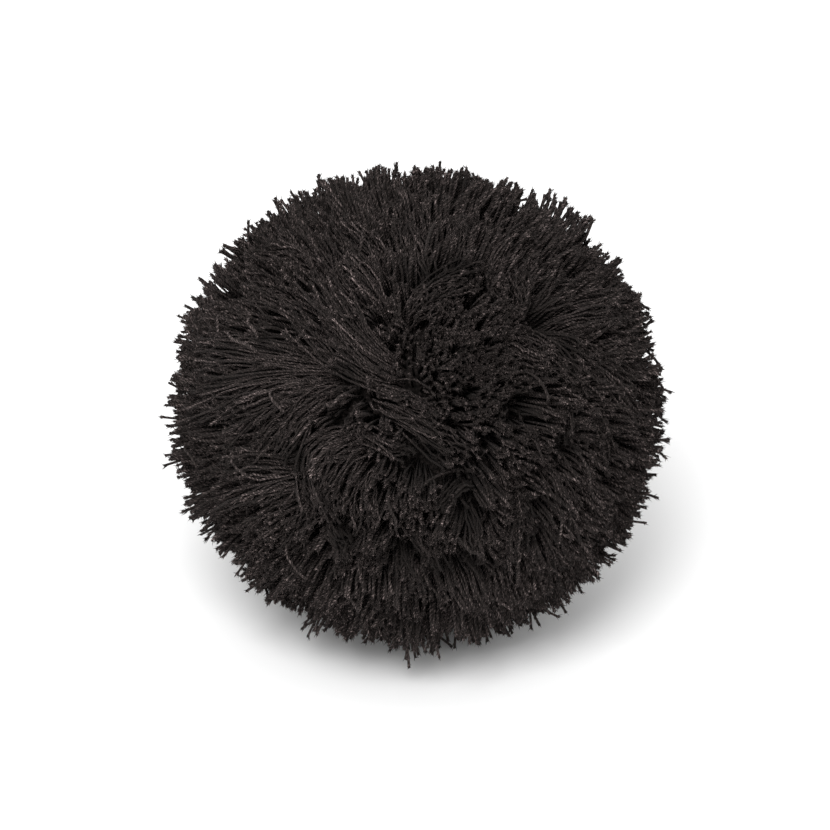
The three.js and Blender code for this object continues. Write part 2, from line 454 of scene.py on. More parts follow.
@dataclass(frozen=True)
class CombedTufts:
    """The tufts that handling has laid over, whose long flanks show.

    Each follows a curve on the ball through a root, a middle and an end. It comes out of the
    heart at its root, rises, and then lies along the outside.
    """

    ball: Ball
    combing: Combing
    yarn: Yarn
    yarns_a_millimetre: float = 4.6
    seed: int = 21
    root_width: float = 0.5
    ahead_depth: float = 4.5 * MM
    drop: float = 3.2 * MM
    tip_drop: float = 0.35
    ragged: float = 0.6 * MM
    cross: float = 1.0 * MM
    splay: float = 1.2 * MM
    stray_share: float = 0.08
    stray_size: float = 2.4 * MM
    tip_below: float = 1.3 * MM
    # For each station of a yarn: its share of the yarn's length, of the tuft's curve and of the way
    # out from the centre, and how light it is painted, a painted shade that darkens it toward its
    # root inside the ball.
    rise_levels: tuple[float, ...] = (0.0, 0.14, 0.26, 0.36, 0.45, 0.54, 0.63, 0.72, 0.81, 0.9, 1.0)
    way_shares: tuple[float, ...] = (0.0, 0.02, 0.08, 0.19, 0.33, 0.48, 0.63, 0.76, 0.87, 0.95, 1.0)
    rise_shares: tuple[float, ...] = (
        0.60, 0.75, 0.85, 0.90, 0.928, 0.944, 0.956, 0.966, 0.976, 0.988, 1.0,
    )
    way_painted_lights: tuple[float, ...] = (0.1, 0.2, 0.4, 0.6, 0.8, 0.95, 1.0, 1.0, 1.0, 1.0, 1.1)
    last_end: float = 1.05
    kink: float = 0.17 * MM
    wisp_width: float = 1.8 * MM
    wisp_gather: float = 0.68
    wisp_bend: float = 1.3 * MM
    wisp_drop: float = 1.2 * MM
    wisp_share: float = 0.6
    # The next four paint light and shade into the yarns' colour: a yarn that lies deeper in its
    # tuft, or in a wisp that drops lower, is painted darker, a painted shade, and the top ones
    # lighter, with a least share.
    wisp_painted_shade: float = 0.25
    under_painted_light: float = 0.25
    top_painted_light: float = 1.75
    least_light: float = 0.1
    hidden_count: int = 64
    hidden_limit: float = 0.10
    hidden_low: float = 0.9
    hidden_reach: tuple[float, float] = (0.22, 0.46)
    hidden_bow: float = 0.10
    hidden_width: tuple[float, float] = (5.0, 9.0)
    hidden_first_end: float = 0.15
    hidden_end_spread: float = 0.5
    hollow_depth: float = 4.5 * MM
    bed_depth: float = 2.8 * MM
    bed_start: float = 0.12
    bed_stations: int = 9
    bed_root_width: float = 0.5
    bed_edge: float = 0.5 * MM
    # The tufts seen: root, middle and end, each across and up in millimetres from the middle of
    # the view, the width in millimetres, and the share of the way where the first yarns end.
    front: tuple[tuple[float, ...], ...] = (
        # left fans
        (-16.6, 7.4, -33.0, 11.0, -46.5, 9.5, 7.0, 0.6),
        (-16.2, 6.3, -31.4, 6.0, -46.0, 1.0, 8.0, 0.6),
        (-20.0, 5.0, -32.0, 2.0, -42.0, -5.0, 6.0, 0.5),
        (-18.0, 4.5, -28.0, 0.5, -34.5, -8.0, 7.0, 0.55),
        (-15.9, 4.3, -23.5, -0.5, -27.5, -10.5, 6.0, 0.6),
        # the large tuft over them, and the one above it
        (-2.7, 4.7, -14.5, 10.0, -25.3, 22.5, 9.0, 0.5),
        (-3.5, 8.5, -12.5, 14.0, -21.0, 26.5, 8.0, 0.4),
        (-6.8, 21.2, -11.5, 26.3, -17.2, 33.0, 7.0, 0.4),
        (-7.1, 29.5, -11.2, 34.2, -15.5, 38.0, 4.0, 0.5),
        # from the top hollow
        (3.4, 28.3, 0.8, 34.0, -2.0, 40.5, 3.0, 0.5),
        (8.0, 30.0, 9.5, 36.0, 9.5, 41.5, 3.0, 0.5),
        (15.5, 30.5, 18.5, 36.0, 23.5, 38.0, 4.0, 0.5),
        (-4.0, 20.5, 3.0, 26.0, 13.0, 29.0, 5.0, 0.45),
        (-3.0, 18.0, 3.0, 22.0, 11.0, 24.0, 5.0, 0.15),
        # from the right hollow
        (21.0, 20.5, 19.0, 24.0, 17.0, 27.5, 3.0, 0.5),
        (24.0, 18.5, 23.5, 23.0, 22.5, 28.0, 3.0, 0.5),
        (26.5, 20.5, 28.0, 24.5, 31.0, 28.5, 4.0, 0.4),
        (17.6, 14.1, 22.0, 11.0, 26.5, 6.5, 4.5, 0.5),
        (21.0, 16.5, 27.5, 12.5, 32.5, 4.5, 5.0, 0.5),
        (26.4, 16.5, 33.0, 12.5, 37.5, 5.0, 5.0, 0.5),
        (29.0, 18.5, 36.0, 19.5, 43.0, 18.5, 5.0, 0.4),
        (35.0, 12.0, 41.0, 6.0, 44.5, -3.0, 6.0, 0.3),
        # centre
        (-13.0, 3.6, -4.5, 3.0, 3.5, -0.5, 4.0, 0.5),
        (-12.0, 1.5, -4.0, -1.5, 3.5, -6.5, 2.5, 0.5),
        (-9.0, -0.5, 0.5, -6.0, 9.5, -11.5, 3.0, 0.6),
        (-15.5, -2.5, -10.5, -6.5, -4.0, -9.3, 3.0, 0.6),
        (20.6, 3.6, 19.3, 0.8, 17.0, -1.5, 1.5, 0.7),
        (27.0, 3.6, 30.0, 0.5, 29.6, -4.5, 2.0, 0.7),
        # the bowed tuft and those below it
        (-12.0, -6.5, -21.5, -10.0, -19.0, -20.5, 8.0, 0.6),
        (-9.5, -9.0, -15.5, -13.5, -16.8, -22.5, 5.0, 0.5),
        (-10.5, -12.5, -11.5, -18.0, -10.0, -25.0, 3.0, 0.3),
        (-24.0, -13.5, -33.0, -12.5, -42.5, -11.5, 6.0, 0.4),
        (-22.5, -16.0, -30.0, -17.5, -37.5, -21.0, 7.0, 0.4),
        (-21.5, -18.5, -24.5, -24.0, -26.5, -30.5, 7.0, 0.3),
        (-20.5, -24.5, -17.0, -28.0, -13.0, -33.5, 5.0, 0.3),
        (-4.0, -21.5, -1.5, -26.5, 3.5, -32.0, 2.0, 0.3),
        (-5.0, -31.0, -1.0, -37.0, 3.0, -43.5, 4.0, 0.1),
        # right and lower right
        (20.0, -12.5, 20.5, -24.0, 18.5, -35.5, 7.0, 0.1),
        (11.0, -19.5, 11.8, -26.0, 12.3, -32.5, 3.0, 0.3),
        (12.5, -18.5, 8.5, -17.3, 4.0, -20.5, 3.0, 0.5),
        (26.0, -11.5, 29.5, -17.5, 32.0, -25.0, 5.0, 0.3),
        (35.0, 2.5, 37.5, -4.0, 37.0, -12.5, 6.0, 0.2),
        (35.0, -15.0, 38.0, -20.5, 38.5, -27.0, 5.0, 0.2),
        (27.5, -25.0, 29.0, -31.0, 29.0, -37.0, 5.0, 0.2),
        # upper left
        (-26.0, 20.5, -32.0, 23.5, -38.5, 24.0, 6.0, 0.3),
        (-21.5, 30.5, -26.0, 33.5, -31.5, 34.5, 5.0, 0.3),
    )

    def curves(self) -> tuple[np.ndarray, np.ndarray, np.ndarray]:
        """Gives every tuft's curve: the table's, then those of the hidden side.

        A hidden tuft sets out from an even point, runs by a turn of its own and bows aside.

        Returns:
            Three directions, t by 3 by 3, widths in metres, t, and the share of the way at which
            the first yarns end, t.
        """
        table = np.array(self.front, float)
        shown = np.stack([self.combing.facing(table[:, k], table[:, k + 1]) for k in (0, 2, 4)], 1)
        start = self.combing.hidden_side(self.hidden_count, self.hidden_limit, self.hidden_low)
        steps = np.arange(len(start))
        u, v = tangents(start)
        turn = (2 * math.pi * fixed_chance(steps, Chance.TUFT_TURN))[:, None]
        ahead = u * np.cos(turn) + v * np.sin(turn)
        reach = between(self.hidden_reach, fixed_chance(steps, Chance.TUFT_REACH))[:, None]
        bow = ((2 * fixed_chance(steps, Chance.TUFT_BOW) - 1) * self.hidden_bow)[:, None]
        end = unit(start + ahead * reach)
        middle = unit(start + end + 2 * bow * np.cross(start, ahead))
        width = between(self.hidden_width, fixed_chance(steps, Chance.TUFT_WIDTH))
        later = fixed_chance(steps, Chance.TUFT_FIRST_END)
        first_end = self.hidden_first_end + self.hidden_end_spread * later
        curves = np.concatenate([shown, np.stack([start, middle, end], axis=1)])
        widths = np.concatenate([table[:, 6], width]) * MM
        return curves, widths, np.concatenate([table[:, 7], first_end])

    def along(self, curves: np.ndarray, way: np.ndarray) -> np.ndarray:
        """Follows each curve: the parabola through its three directions, by the share gone.

        Args:
            curves: Root, middle and end directions, n by 3 by 3.
            way: Shares from 0 to 1 for each curve, n by s.

        Returns:
            Unit directions, n by s by 3.
        """
        first = (1 - way) * (1 - 2 * way)
        second = 4 * way * (1 - way)
        third = way * (2 * way - 1)
        return unit(np.einsum("nkc,kns->nsc", curves, np.stack([first, second, third])))

    def strands(self) -> Strands:
        """Lays every tuft's yarns side by side and under each other.

        A yarn has a place aside and a depth in its tuft. The deeper it lies, the further ahead its
        root and end are, and the darker it is painted, a painted shade standing in for the shade of
        the yarns above it. Neighbours form a wisp, which draws together, bends aside and ends of its
        own accord, and which is painted darker the lower it drops. Some yarns cross the others. Each
        yarn is also painted darker toward its root.

        Returns:
            The yarns.
        """
        rng = np.random.default_rng(self.seed)
        curves, widths, first_end = self.curves()
        counts = np.round(widths / MM * self.yarns_a_millimetre).astype(int)
        tuft = np.repeat(np.arange(len(curves)), counts)
        count = len(tuft)
        width = widths[tuft][:, None]
        sideways = rng.uniform(-1, 1, (count, 1)) * width / 2
        wisps = np.maximum(1, np.round(widths / self.wisp_width)).astype(int)
        in_tuft = wisps[tuft][:, None]
        number = np.minimum(np.floor((sideways / width + 0.5) * in_tuft), in_tuft - 1)
        wisp = (np.cumsum(wisps) - wisps)[tuft] + number[:, 0].astype(int)
        centre = ((number + 0.5) / in_tuft - 0.5) * width
        chance = rng.random((wisps.sum(), 2))[wisp]
        bend = rng.normal(0, self.wisp_bend, wisps.sum())[wisp][:, None]
        first = first_end[tuft][:, None]
        share = self.wisp_share * chance[:, :1] + (1 - self.wisp_share) * rng.random((count, 1))
        gone = first + (self.last_end - first) * share
        way = np.array(self.way_shares) * gone
        level = np.array(self.rise_levels)
        middle = self.along(curves[tuft], way)
        ahead = np.gradient(middle, axis=1)
        ahead = unit(ahead - middle * (ahead * middle).sum(-1, keepdims=True))
        aside = np.cross(middle, ahead)
        radius = self.ball.radius_across
        deep = rng.random((count, 1))
        spread = self.root_width + (1 - self.root_width) * way
        gathered = centre + (sideways - centre) * (1 - self.wisp_gather * way)
        splay = rng.normal(0, self.splay, (count, 2))
        stray = rng.random(count) < self.stray_share
        splay[stray] += rng.normal(0, self.stray_size, (int(stray.sum()), 2))
        cross = rng.normal(0, self.cross, (count, 1)) * 4 * way * (1 - np.minimum(way, 1))
        by_aside = (gathered * spread + cross + (splay[:, :1] + bend) * way**2) / radius
        by_ahead = (deep * self.ahead_depth + splay[:, 1:] * way**2) / radius
        directions = unit(middle + aside * by_aside[..., None] + ahead * by_ahead[..., None])
        ragged = rng.normal(0, self.ragged, (count, 1)) - self.tip_below
        drop = deep * self.drop * (1 - (1 - self.tip_drop) * level)
        drop = drop + chance[:, 1:] * self.wisp_drop * level
        reach = self.ball.reach(directions) * np.array(self.rise_shares) + ragged * level - drop
        reach = np.minimum(reach, self.ball.to_floor(directions))
        points = self.yarn.swaying(directions * reach[..., None], level, rng)
        points += rng.normal(0, self.kink, points.shape)
        points[..., 2] = np.maximum(points[..., 2] + self.ball.centre_height, self.yarn.radius)
        # Painted shade: deeper yarns and lower wisps are darker, the top ones lighter, and each yarn
        # darker toward its root.
        light = self.under_painted_light + self.top_painted_light * (1 - deep) ** 2 - self.wisp_painted_shade * chance[:, 1:]
        light = np.maximum(light, self.least_light) * np.array(self.way_painted_lights)
        return Strands(points, aside[:, 0], light)

    def bed(self, directions: np.ndarray) -> np.ndarray:
        """Measures how much lower the upstanding yarn is cut where a tuft lies over it.

        Each tuft is sampled along its curve. Its bed is deep at the root and shallow at the end,
        by the cube of the way that is left, and fades with the distance aside on a flat bell.

        Args:
            directions: Unit directions of yarn ends, n by 3.

        Returns:
            Depths in metres, n.
        """
        curves, widths, _ = self.curves()
        way = np.linspace(self.bed_start, 1, self.bed_stations)
        path = self.along(curves, np.tile(way, (len(curves), 1)))
        deep = between((self.bed_depth, self.hollow_depth), (1 - way) ** 3)
        widening = self.bed_root_width + (1 - self.bed_root_width) * way
        depth = np.zeros(len(directions))
        for number, width in enumerate(widths):
            reach = (0.5 * width * widening + self.bed_edge) / self.ball.radius_across
            away = np.linalg.norm(directions[:, None, :] - path[number][None], axis=2) / reach
            depth = np.maximum(depth, (deep * bell(away, FLAT_BELL)).max(axis=1))
        return depth


@dataclass(frozen=True)
class Hollows:
    """The dark hollows between the tufts, which the yarn leans away from."""

    combing: Combing
    push: float = 0.42
    push_width: float = 1.3
    sunk_width: float = 0.9
    # The next three set the painted shade that darkens the yarn inside the hollows.
    shade_share: float = 0.93
    shade_reach: float = 1.25
    shade_depth: float = 2.4 * MM
    hidden_count: int = 70
    hidden_limit: float = 0.05
    hidden_low: float = 0.85
    hidden_radius: tuple[float, float] = (2.0, 4.5)
    hidden_depth: float = 1.1
    # The hollows seen: across and up from the middle of the view, radius and depth, in millimetres.
    front: tuple[tuple[float, ...], ...] = (
        (-1.0, 28.8, 3.0, 6.0),
        (3.4, 29.0, 4.0, 7.0),
        (8.5, 30.0, 3.0, 6.0),
        (27.0, 19.5, 4.5, 7.0),
        (-15.0, 6.0, 2.5, 4.0),
        (-17.0, -2.0, 2.5, 4.0),
        (0.5, -11.3, 4.5, 5.5),
        (8.5, -17.5, 4.5, 5.5),
        (11.0, -23.0, 4.0, 5.5),
        (-3.2, -31.0, 4.0, 5.5),
        (6.0, -34.0, 4.0, 5.0),
        (12.0, -34.0, 4.0, 5.0),
        (21.0, -1.0, 4.0, 5.0),
        (10.0, 2.8, 1.8, 3.0),
        (24.7, -20.5, 3.0, 4.5),
        (25.0, -27.0, 3.0, 4.5),
        (31.0, 12.0, 2.5, 3.0),
        (-31.0, 15.5, 3.0, 3.5),
        (-25.0, -11.0, 2.5, 3.5),
        (-15.5, -27.0, 3.0, 3.5),
        (30.0, -8.0, 3.0, 3.5),
    )

    def places(self) -> tuple[np.ndarray, np.ndarray, np.ndarray]:
        """Gives every hollow: the table's, then small ones by chance on the hidden side.

        Returns:
            Directions, h by 3, radii and depths in metres, h.
        """
        table = np.array(self.front, float)
        shown = self.combing.facing(table[:, 0], table[:, 1])
        hidden = self.combing.hidden_side(self.hidden_count, self.hidden_limit, self.hidden_low)
        chance = fixed_chance(np.arange(len(hidden)), Chance.HOLLOW_RADIUS)
        radius = between(self.hidden_radius, chance)
        radii = np.concatenate([table[:, 2], radius]) * MM
        depths = np.concatenate([table[:, 3], self.hidden_depth * radius]) * MM
        return np.concatenate([shown, hidden]), radii, depths

    def opened(self, ends: np.ndarray) -> tuple[np.ndarray, np.ndarray]:
        """Leans yarn ends away from the hollows and lowers those that stay inside.

        The push is a share of the hollow's radius and fades on a soft bell of the distance. The
        depth fades on a flat one.

        Args:
            ends: Unit directions, n by 3.

        Returns:
            The moved directions, n by 3, and how far each end is lowered, n.
        """
        centres, radii, depths = self.places()
        scale = self.combing.ball.radius_across
        away = ends[:, None, :] - centres[None]
        distance = np.linalg.norm(away, axis=2)
        nearness = distance * scale / radii
        push = self.push * radii / scale * bell(nearness / self.push_width, SOFT_BELL)
        outward = away / np.maximum(distance, LEAST_DISTANCE)[..., None]
        moved = unit(ends + (outward * push[..., None]).sum(axis=1))
        lowered = (depths * bell(nearness / self.sunk_width, FLAT_BELL)).max(axis=1)
        return moved, lowered

    def shade(self, directions: np.ndarray, depth: np.ndarray) -> np.ndarray:
        """Measures the painted shade of the yarn inside the hollows, where little light comes.

        A hollow takes a share of the yarn's painted light, which grows in step with the depth, on a
        flat bell of the distance from its middle over its radius.

        Args:
            directions: Unit directions, n by 3.
            depth: Depths below the ball's outside, n.

        Returns:
            The share of painted light that is left, n.
        """
        centres, radii, _ = self.places()
        near = np.zeros(len(directions))
        for centre, radius in zip(centres, radii / self.combing.ball.radius_across):
            away = ((directions - centre) ** 2).sum(axis=1) / (self.shade_reach * radius) ** 2
            near = np.maximum(near, bell(away, SOFT_BELL))
        return 1 - self.shade_share * near * np.clip(depth / self.shade_depth, 0, 1)


@dataclass(frozen=True)
class UprightYarn:
    """The yarn that still stands on end, whose cut ends face outwards in small clumps."""

    ball: Ball
    locks: Locks
    tufts: CombedTufts
    hollows: Hollows
    yarn: Yarn
    count: int = 12000
    bunch_count: int = 620
    clump_count: int = 3600
    levels: tuple[float, ...] = (0.0, 0.80, 1.0)
    # The share of light at each level is painted: the flank below the cut end is painted dark, a
    # painted shade, and the cut end lighter, painted light.
    level_painted_lights: tuple[float, ...] = (0.1, 0.40, 1.15)
    least_light: float = 0.75
    bunch_light: float = 0.3
    clump_light: float = 0.3
    seed: int = 7
    yarn_jitter: float = 0.35
    clump_jitter: float = 0.012
    bunch_jitter: float = 0.03
    calm_height: float = 0.2
    comb_share: float = 0.20
    swirl: float = 0.034
    swirl_waves: int = 12
    swirl_turns: float = 17.0
    bunch_lean: float = 0.014
    bunch_ragged: float = 0.9 * MM
    clump_lean: float = 0.016
    clump_ragged: float = 0.6 * MM
    clump_gather: float = 0.5
    ragged: float = 0.55 * MM
    lock_ragged_share: float = 0.5
    splay: float = 0.010
    stray_share: float = 0.05
    stray_lean: float = 0.05
    stray_reach: float = 1.8 * MM
    below_ball: float = 2.0 * MM
    bed_shares: tuple[float, float] = (0.35, 1.2)
    # Where the cut ends face straight outwards: across, up and radius in millimetres, and the share
    # of light that they are painted with, which is low where a painted shade stands in for the light
    # that sinks in between them.
    even_places: tuple[tuple[float, float, float, float], ...] = (
        (6.0, 11.0, 7.0, 0.62),
        (14.0, 14.0, 9.0, 0.62),
        (12.0, 3.0, 8.0, 0.62),
        (17.0, 7.0, 6.0, 0.62),
        (22.0, -8.0, 6.0, 0.75),
        (-2.0, -18.0, 5.0, 0.9),
        (18.5, -20.5, 4.5, 0.9),
        (18.5, -29.0, 5.5, 0.9),
        (4.0, -27.5, 4.5, 0.9),
        (-9.0, -31.0, 4.5, 0.9),
        (-30.0, -30.0, 8.0, 1.0),
        (33.0, -2.0, 6.0, 0.8),
    )
    extra_a_square_millimetre: float = 1.0
    filling_a_square_millimetre: float = 0.2

    def thickening(self, rng: np.random.Generator) -> np.ndarray:
        """Adds yarns in the even places and the hollows, spread by chance over each one's disc.

        The distance from the disc's middle is its radius times the square root of a chance.

        Args:
            rng: The source of chance.

        Returns:
            Unit directions, n by 3.
        """
        table = np.array(self.even_places)
        even = self.locks.combing.facing(table[:, 0], table[:, 1])
        hollow, hollow_radii, _ = self.hollows.places()
        centres = np.concatenate([even, hollow])
        radii = np.concatenate([table[:, 2] * MM, hollow_radii])
        extra = np.full(len(even), self.extra_a_square_millimetre)
        filling = np.full(len(hollow), self.filling_a_square_millimetre)
        area = math.pi * (radii / MM) ** 2
        counts = np.round(np.concatenate([extra, filling]) * area).astype(int)
        owner = np.repeat(np.arange(len(centres)), counts)
        u, v = tangents(centres)
        turn = rng.random((len(owner), 1)) * 2 * math.pi
        out = np.sqrt(rng.random((len(owner), 1))) * radii[owner, None] / self.ball.radius_across
        return unit(centres[owner] + out * (u[owner] * np.cos(turn) + v[owner] * np.sin(turn)))

    def even_bells(self, places: np.ndarray) -> np.ndarray:
        """Measures how near each yarn is to each even place, on a flat bell of its distance.

        Args:
            places: Unit directions, n by 3.

        Returns:
            From 0 far away to 1 in the middle, n by the number of even places.
        """
        table = np.array(self.even_places)
        centres = self.locks.combing.facing(table[:, 0], table[:, 1])
        away = np.linalg.norm(places[:, None, :] - centres[None], axis=2) * self.ball.radius_across
        return bell(away / (table[:, 2] * MM), FLAT_BELL)

    def leaning(self, places: np.ndarray) -> np.ndarray:
        """Measures how far a yarn keeps its lean, away from the even places.

        Args:
            places: Unit directions, n by 3.

        Returns:
            From 0 where ends face straight outwards to 1 where they lean freely, n by 1.
        """
        return (1 - self.even_bells(places)).prod(axis=1)[:, None]

    def painted_dimming(self, places: np.ndarray) -> np.ndarray:
        """Measures how much of its painted light a yarn keeps under the painted shade of the even
        places.

        Args:
            places: Unit directions, n by 3.

        Returns:
            The least share of painted light that any even place leaves, n by 1.
        """
        share = np.array(self.even_places)[:, 3]
        return (1 - (1 - share) * self.even_bells(places)).min(axis=1)[:, None]

    def swirled(self, places: np.ndarray, rng: np.random.Generator) -> np.ndarray:
        """Leans the yarn in slow swirls, which open no gaps.

        The lean at n is n x sum(w cos(w k . n + p)), over waves of random directions w and
        phases p. It runs along the level lines of a wavy height, so it crowds nothing.

        Args:
            places: Unit directions, n by 3.
            rng: The source of chance.

        Returns:
            The lean at each place, n by 3.
        """
        waves = unit(rng.normal(0, 1, (self.swirl_waves, 3)))
        phase = rng.random(self.swirl_waves) * 2 * math.pi
        slope = np.cos(self.swirl_turns * places @ waves.T + phase) @ waves
        return self.swirl * math.sqrt(3 / self.swirl_waves) * np.cross(places, slope)

    def strands(self) -> Strands:
        """Stands the yarns on the heart: even roots, and ends drawn into leaning clumps.

        Neighbours form a clump of three or four, whose ends gather, and clumps form a bunch.
        Each clump and bunch leans, reaches and catches the light by chance. The combing draws back
        only the roots, so that the ends stay even, and the hollows push the ends aside. The ends
        that face straight outwards, and each yarn's flank below its cut end, are painted darker, a
        painted shade.

        Returns:
            The yarns.
        """
        rng = np.random.default_rng(self.seed)
        locks, ball = self.locks, self.ball
        places = even_directions(self.count)
        spacing = math.sqrt(4 * math.pi / self.count)
        places = unit(places + rng.normal(0, self.yarn_jitter * spacing, places.shape))
        places = np.concatenate([places, self.thickening(rng)])
        count = len(places)
        lock = np.argmax(places @ locks.place.T, axis=1)
        centres = even_directions(self.clump_count)
        centres = unit(centres + rng.normal(0, self.clump_jitter, centres.shape))
        clump = np.argmax(places @ centres.T, axis=1)
        bunches = even_directions(self.bunch_count)
        bunches = unit(bunches + rng.normal(0, self.bunch_jitter, bunches.shape))
        bunch = np.argmax(centres @ bunches.T, axis=1)[clump]
        above = np.clip((1 - places @ DOWN) / self.calm_height, 0, 1)[:, None]
        calm = above * self.leaning(places)
        lean = rng.normal(0, self.bunch_lean, (self.bunch_count, 3))[bunch]
        lean += rng.normal(0, self.clump_lean, (self.clump_count, 3))[clump]
        lean = (lean + self.swirled(centres, rng)[clump]) * calm
        comb = self.comb_share * (locks.end - locks.root)[lock] * calm
        splay = rng.normal(0, self.splay, places.shape)
        stray = rng.random(count) < self.stray_share
        splay[stray] += rng.normal(0, self.stray_lean, (int(stray.sum()), 3))
        gathered = centres[clump] + (places - centres[clump]) * self.clump_gather
        end, lowered = self.hollows.opened(unit(gathered + lean + splay))
        root = unit(places - comb)
        level = np.array(self.levels)
        share = (level**locks.bend_power)[None, :, None]
        directions = unit(root[:, None, :] * (1 - share) + end[:, None, :] * share)
        ragged = rng.normal(0, self.bunch_ragged, self.bunch_count)[bunch]
        ragged += rng.normal(0, self.clump_ragged, self.clump_count)[clump]
        ragged += locks.ragged[lock] * self.lock_ragged_share + rng.normal(0, self.ragged, count)
        ragged += np.where(stray, rng.random(count) * self.stray_reach, 0)
        bed = self.tufts.bed(end) * rng.uniform(*self.bed_shares, count)
        lowered = np.maximum(lowered, bed)
        reach = ball.reach(end) - self.below_ball + ragged - lowered
        reach = np.minimum(reach, ball.to_floor(end))
        start = ball.reach(root) * ball.heart_share - ball.root_depth
        distance = start[:, None] + (reach - start)[:, None] * level
        points = self.yarn.swaying(directions * distance[..., None], level, rng)
        points[..., 2] = np.maximum(points[..., 2] + ball.centre_height, self.yarn.radius)
        across = unit(np.cross(root, rng.normal(0, 1, root.shape)))
        bunch_light = self.bunch_light * rng.random(self.bunch_count)[bunch]
        clump_light = self.clump_light * rng.random(self.clump_count)[clump]
        light = (self.least_light + bunch_light + clump_light)[:, None]
        # Painted shade: darker where the ends face straight outwards, and down each yarn's flank.
        light = light * self.painted_dimming(end) * np.array(self.level_painted_lights)
        return Strands(points, across, light)


@dataclass(frozen=True)
class StrayYarns:
    """Single yarns that have come away and lie across the others."""

    combing: Combing
    yarn: Yarn
    seed: int = 33
    lift: float = -0.4 * MM
    bow: float = 0.008
    stations: int = 9
    light: float = 0.75
    first_share: float = 0.95
    rise_rate: float = 3.0
    hidden_count: int = 26
    hidden_limit: float = -0.1
    hidden_low: float = 0.8
    hidden_reach: float = 0.10
    # Those seen: root and end, each across and up in millimetres from the middle of the view.
    front: tuple[tuple[float, float, float, float], ...] = (
        (-29.7, 2.8, -26.0, -0.9),
        (-46.5, -7.3, -43.2, -12.0),
        (-37.1, -8.3, -33.0, -13.6),
        (-14.2, 2.8, -17.9, -0.3),
        (-14.5, -35.6, -11.9, -40.3),
        (-38.8, 15.1, -32.1, 10.7),
        (-40.0, 18.5, -39.2, 13.8),
        (-34.1, 18.1, -31.4, 13.4),
        (1.5, 30.5, 3.5, 37.0),
        (21.5, 7.0, 25.0, 0.5),
        (31.5, -9.0, 33.5, -15.5),
        (-6.0, -17.0, -4.0, -24.0),
        (8.0, -26.5, 12.0, -29.0),
        (-26.5, -27.5, -22.0, -33.5),
    )

    def strands(self) -> Strands:
        """Lays each stray yarn from its root to its end, a little bowed, along the outside.

        It rises out of the ball in its first third, on the square root of the way.

        Returns:
            The yarns.
        """
        rng = np.random.default_rng(self.seed)
        table = np.array(self.front, float)
        shown = self.combing.facing(table[:, 0], table[:, 1])
        shown_end = self.combing.facing(table[:, 2], table[:, 3])
        hidden = self.combing.hidden_side(self.hidden_count, self.hidden_limit, self.hidden_low)
        turned = unit(np.cross(hidden, rng.normal(0, 1, hidden.shape))) * self.hidden_reach
        root = np.concatenate([shown, hidden])
        end = np.concatenate([shown_end, unit(hidden + turned)])
        level = np.linspace(0, 1, self.stations)
        way = level[None, :, None]
        bow = rng.normal(0, self.bow, (len(root), 1, 1)) * 4 * way * (1 - way)
        aside = unit(np.cross(root, end - root))[:, None]
        directions = unit(root[:, None] * (1 - way) + end[:, None] * way + aside * bow)
        risen = np.sqrt(np.minimum(1, self.rise_rate * level))
        rise = self.first_share + (1 - self.first_share) * risen
        ball = self.combing.ball
        reach = ball.reach(directions) * rise + self.lift * level
        points = self.yarn.swaying(directions * reach[..., None], level, rng)
        points[..., 2] = np.maximum(points[..., 2] + ball.centre_height, self.yarn.radius)
        return Strands(points, aside[:, 0], np.full((len(root), self.stations), self.light))


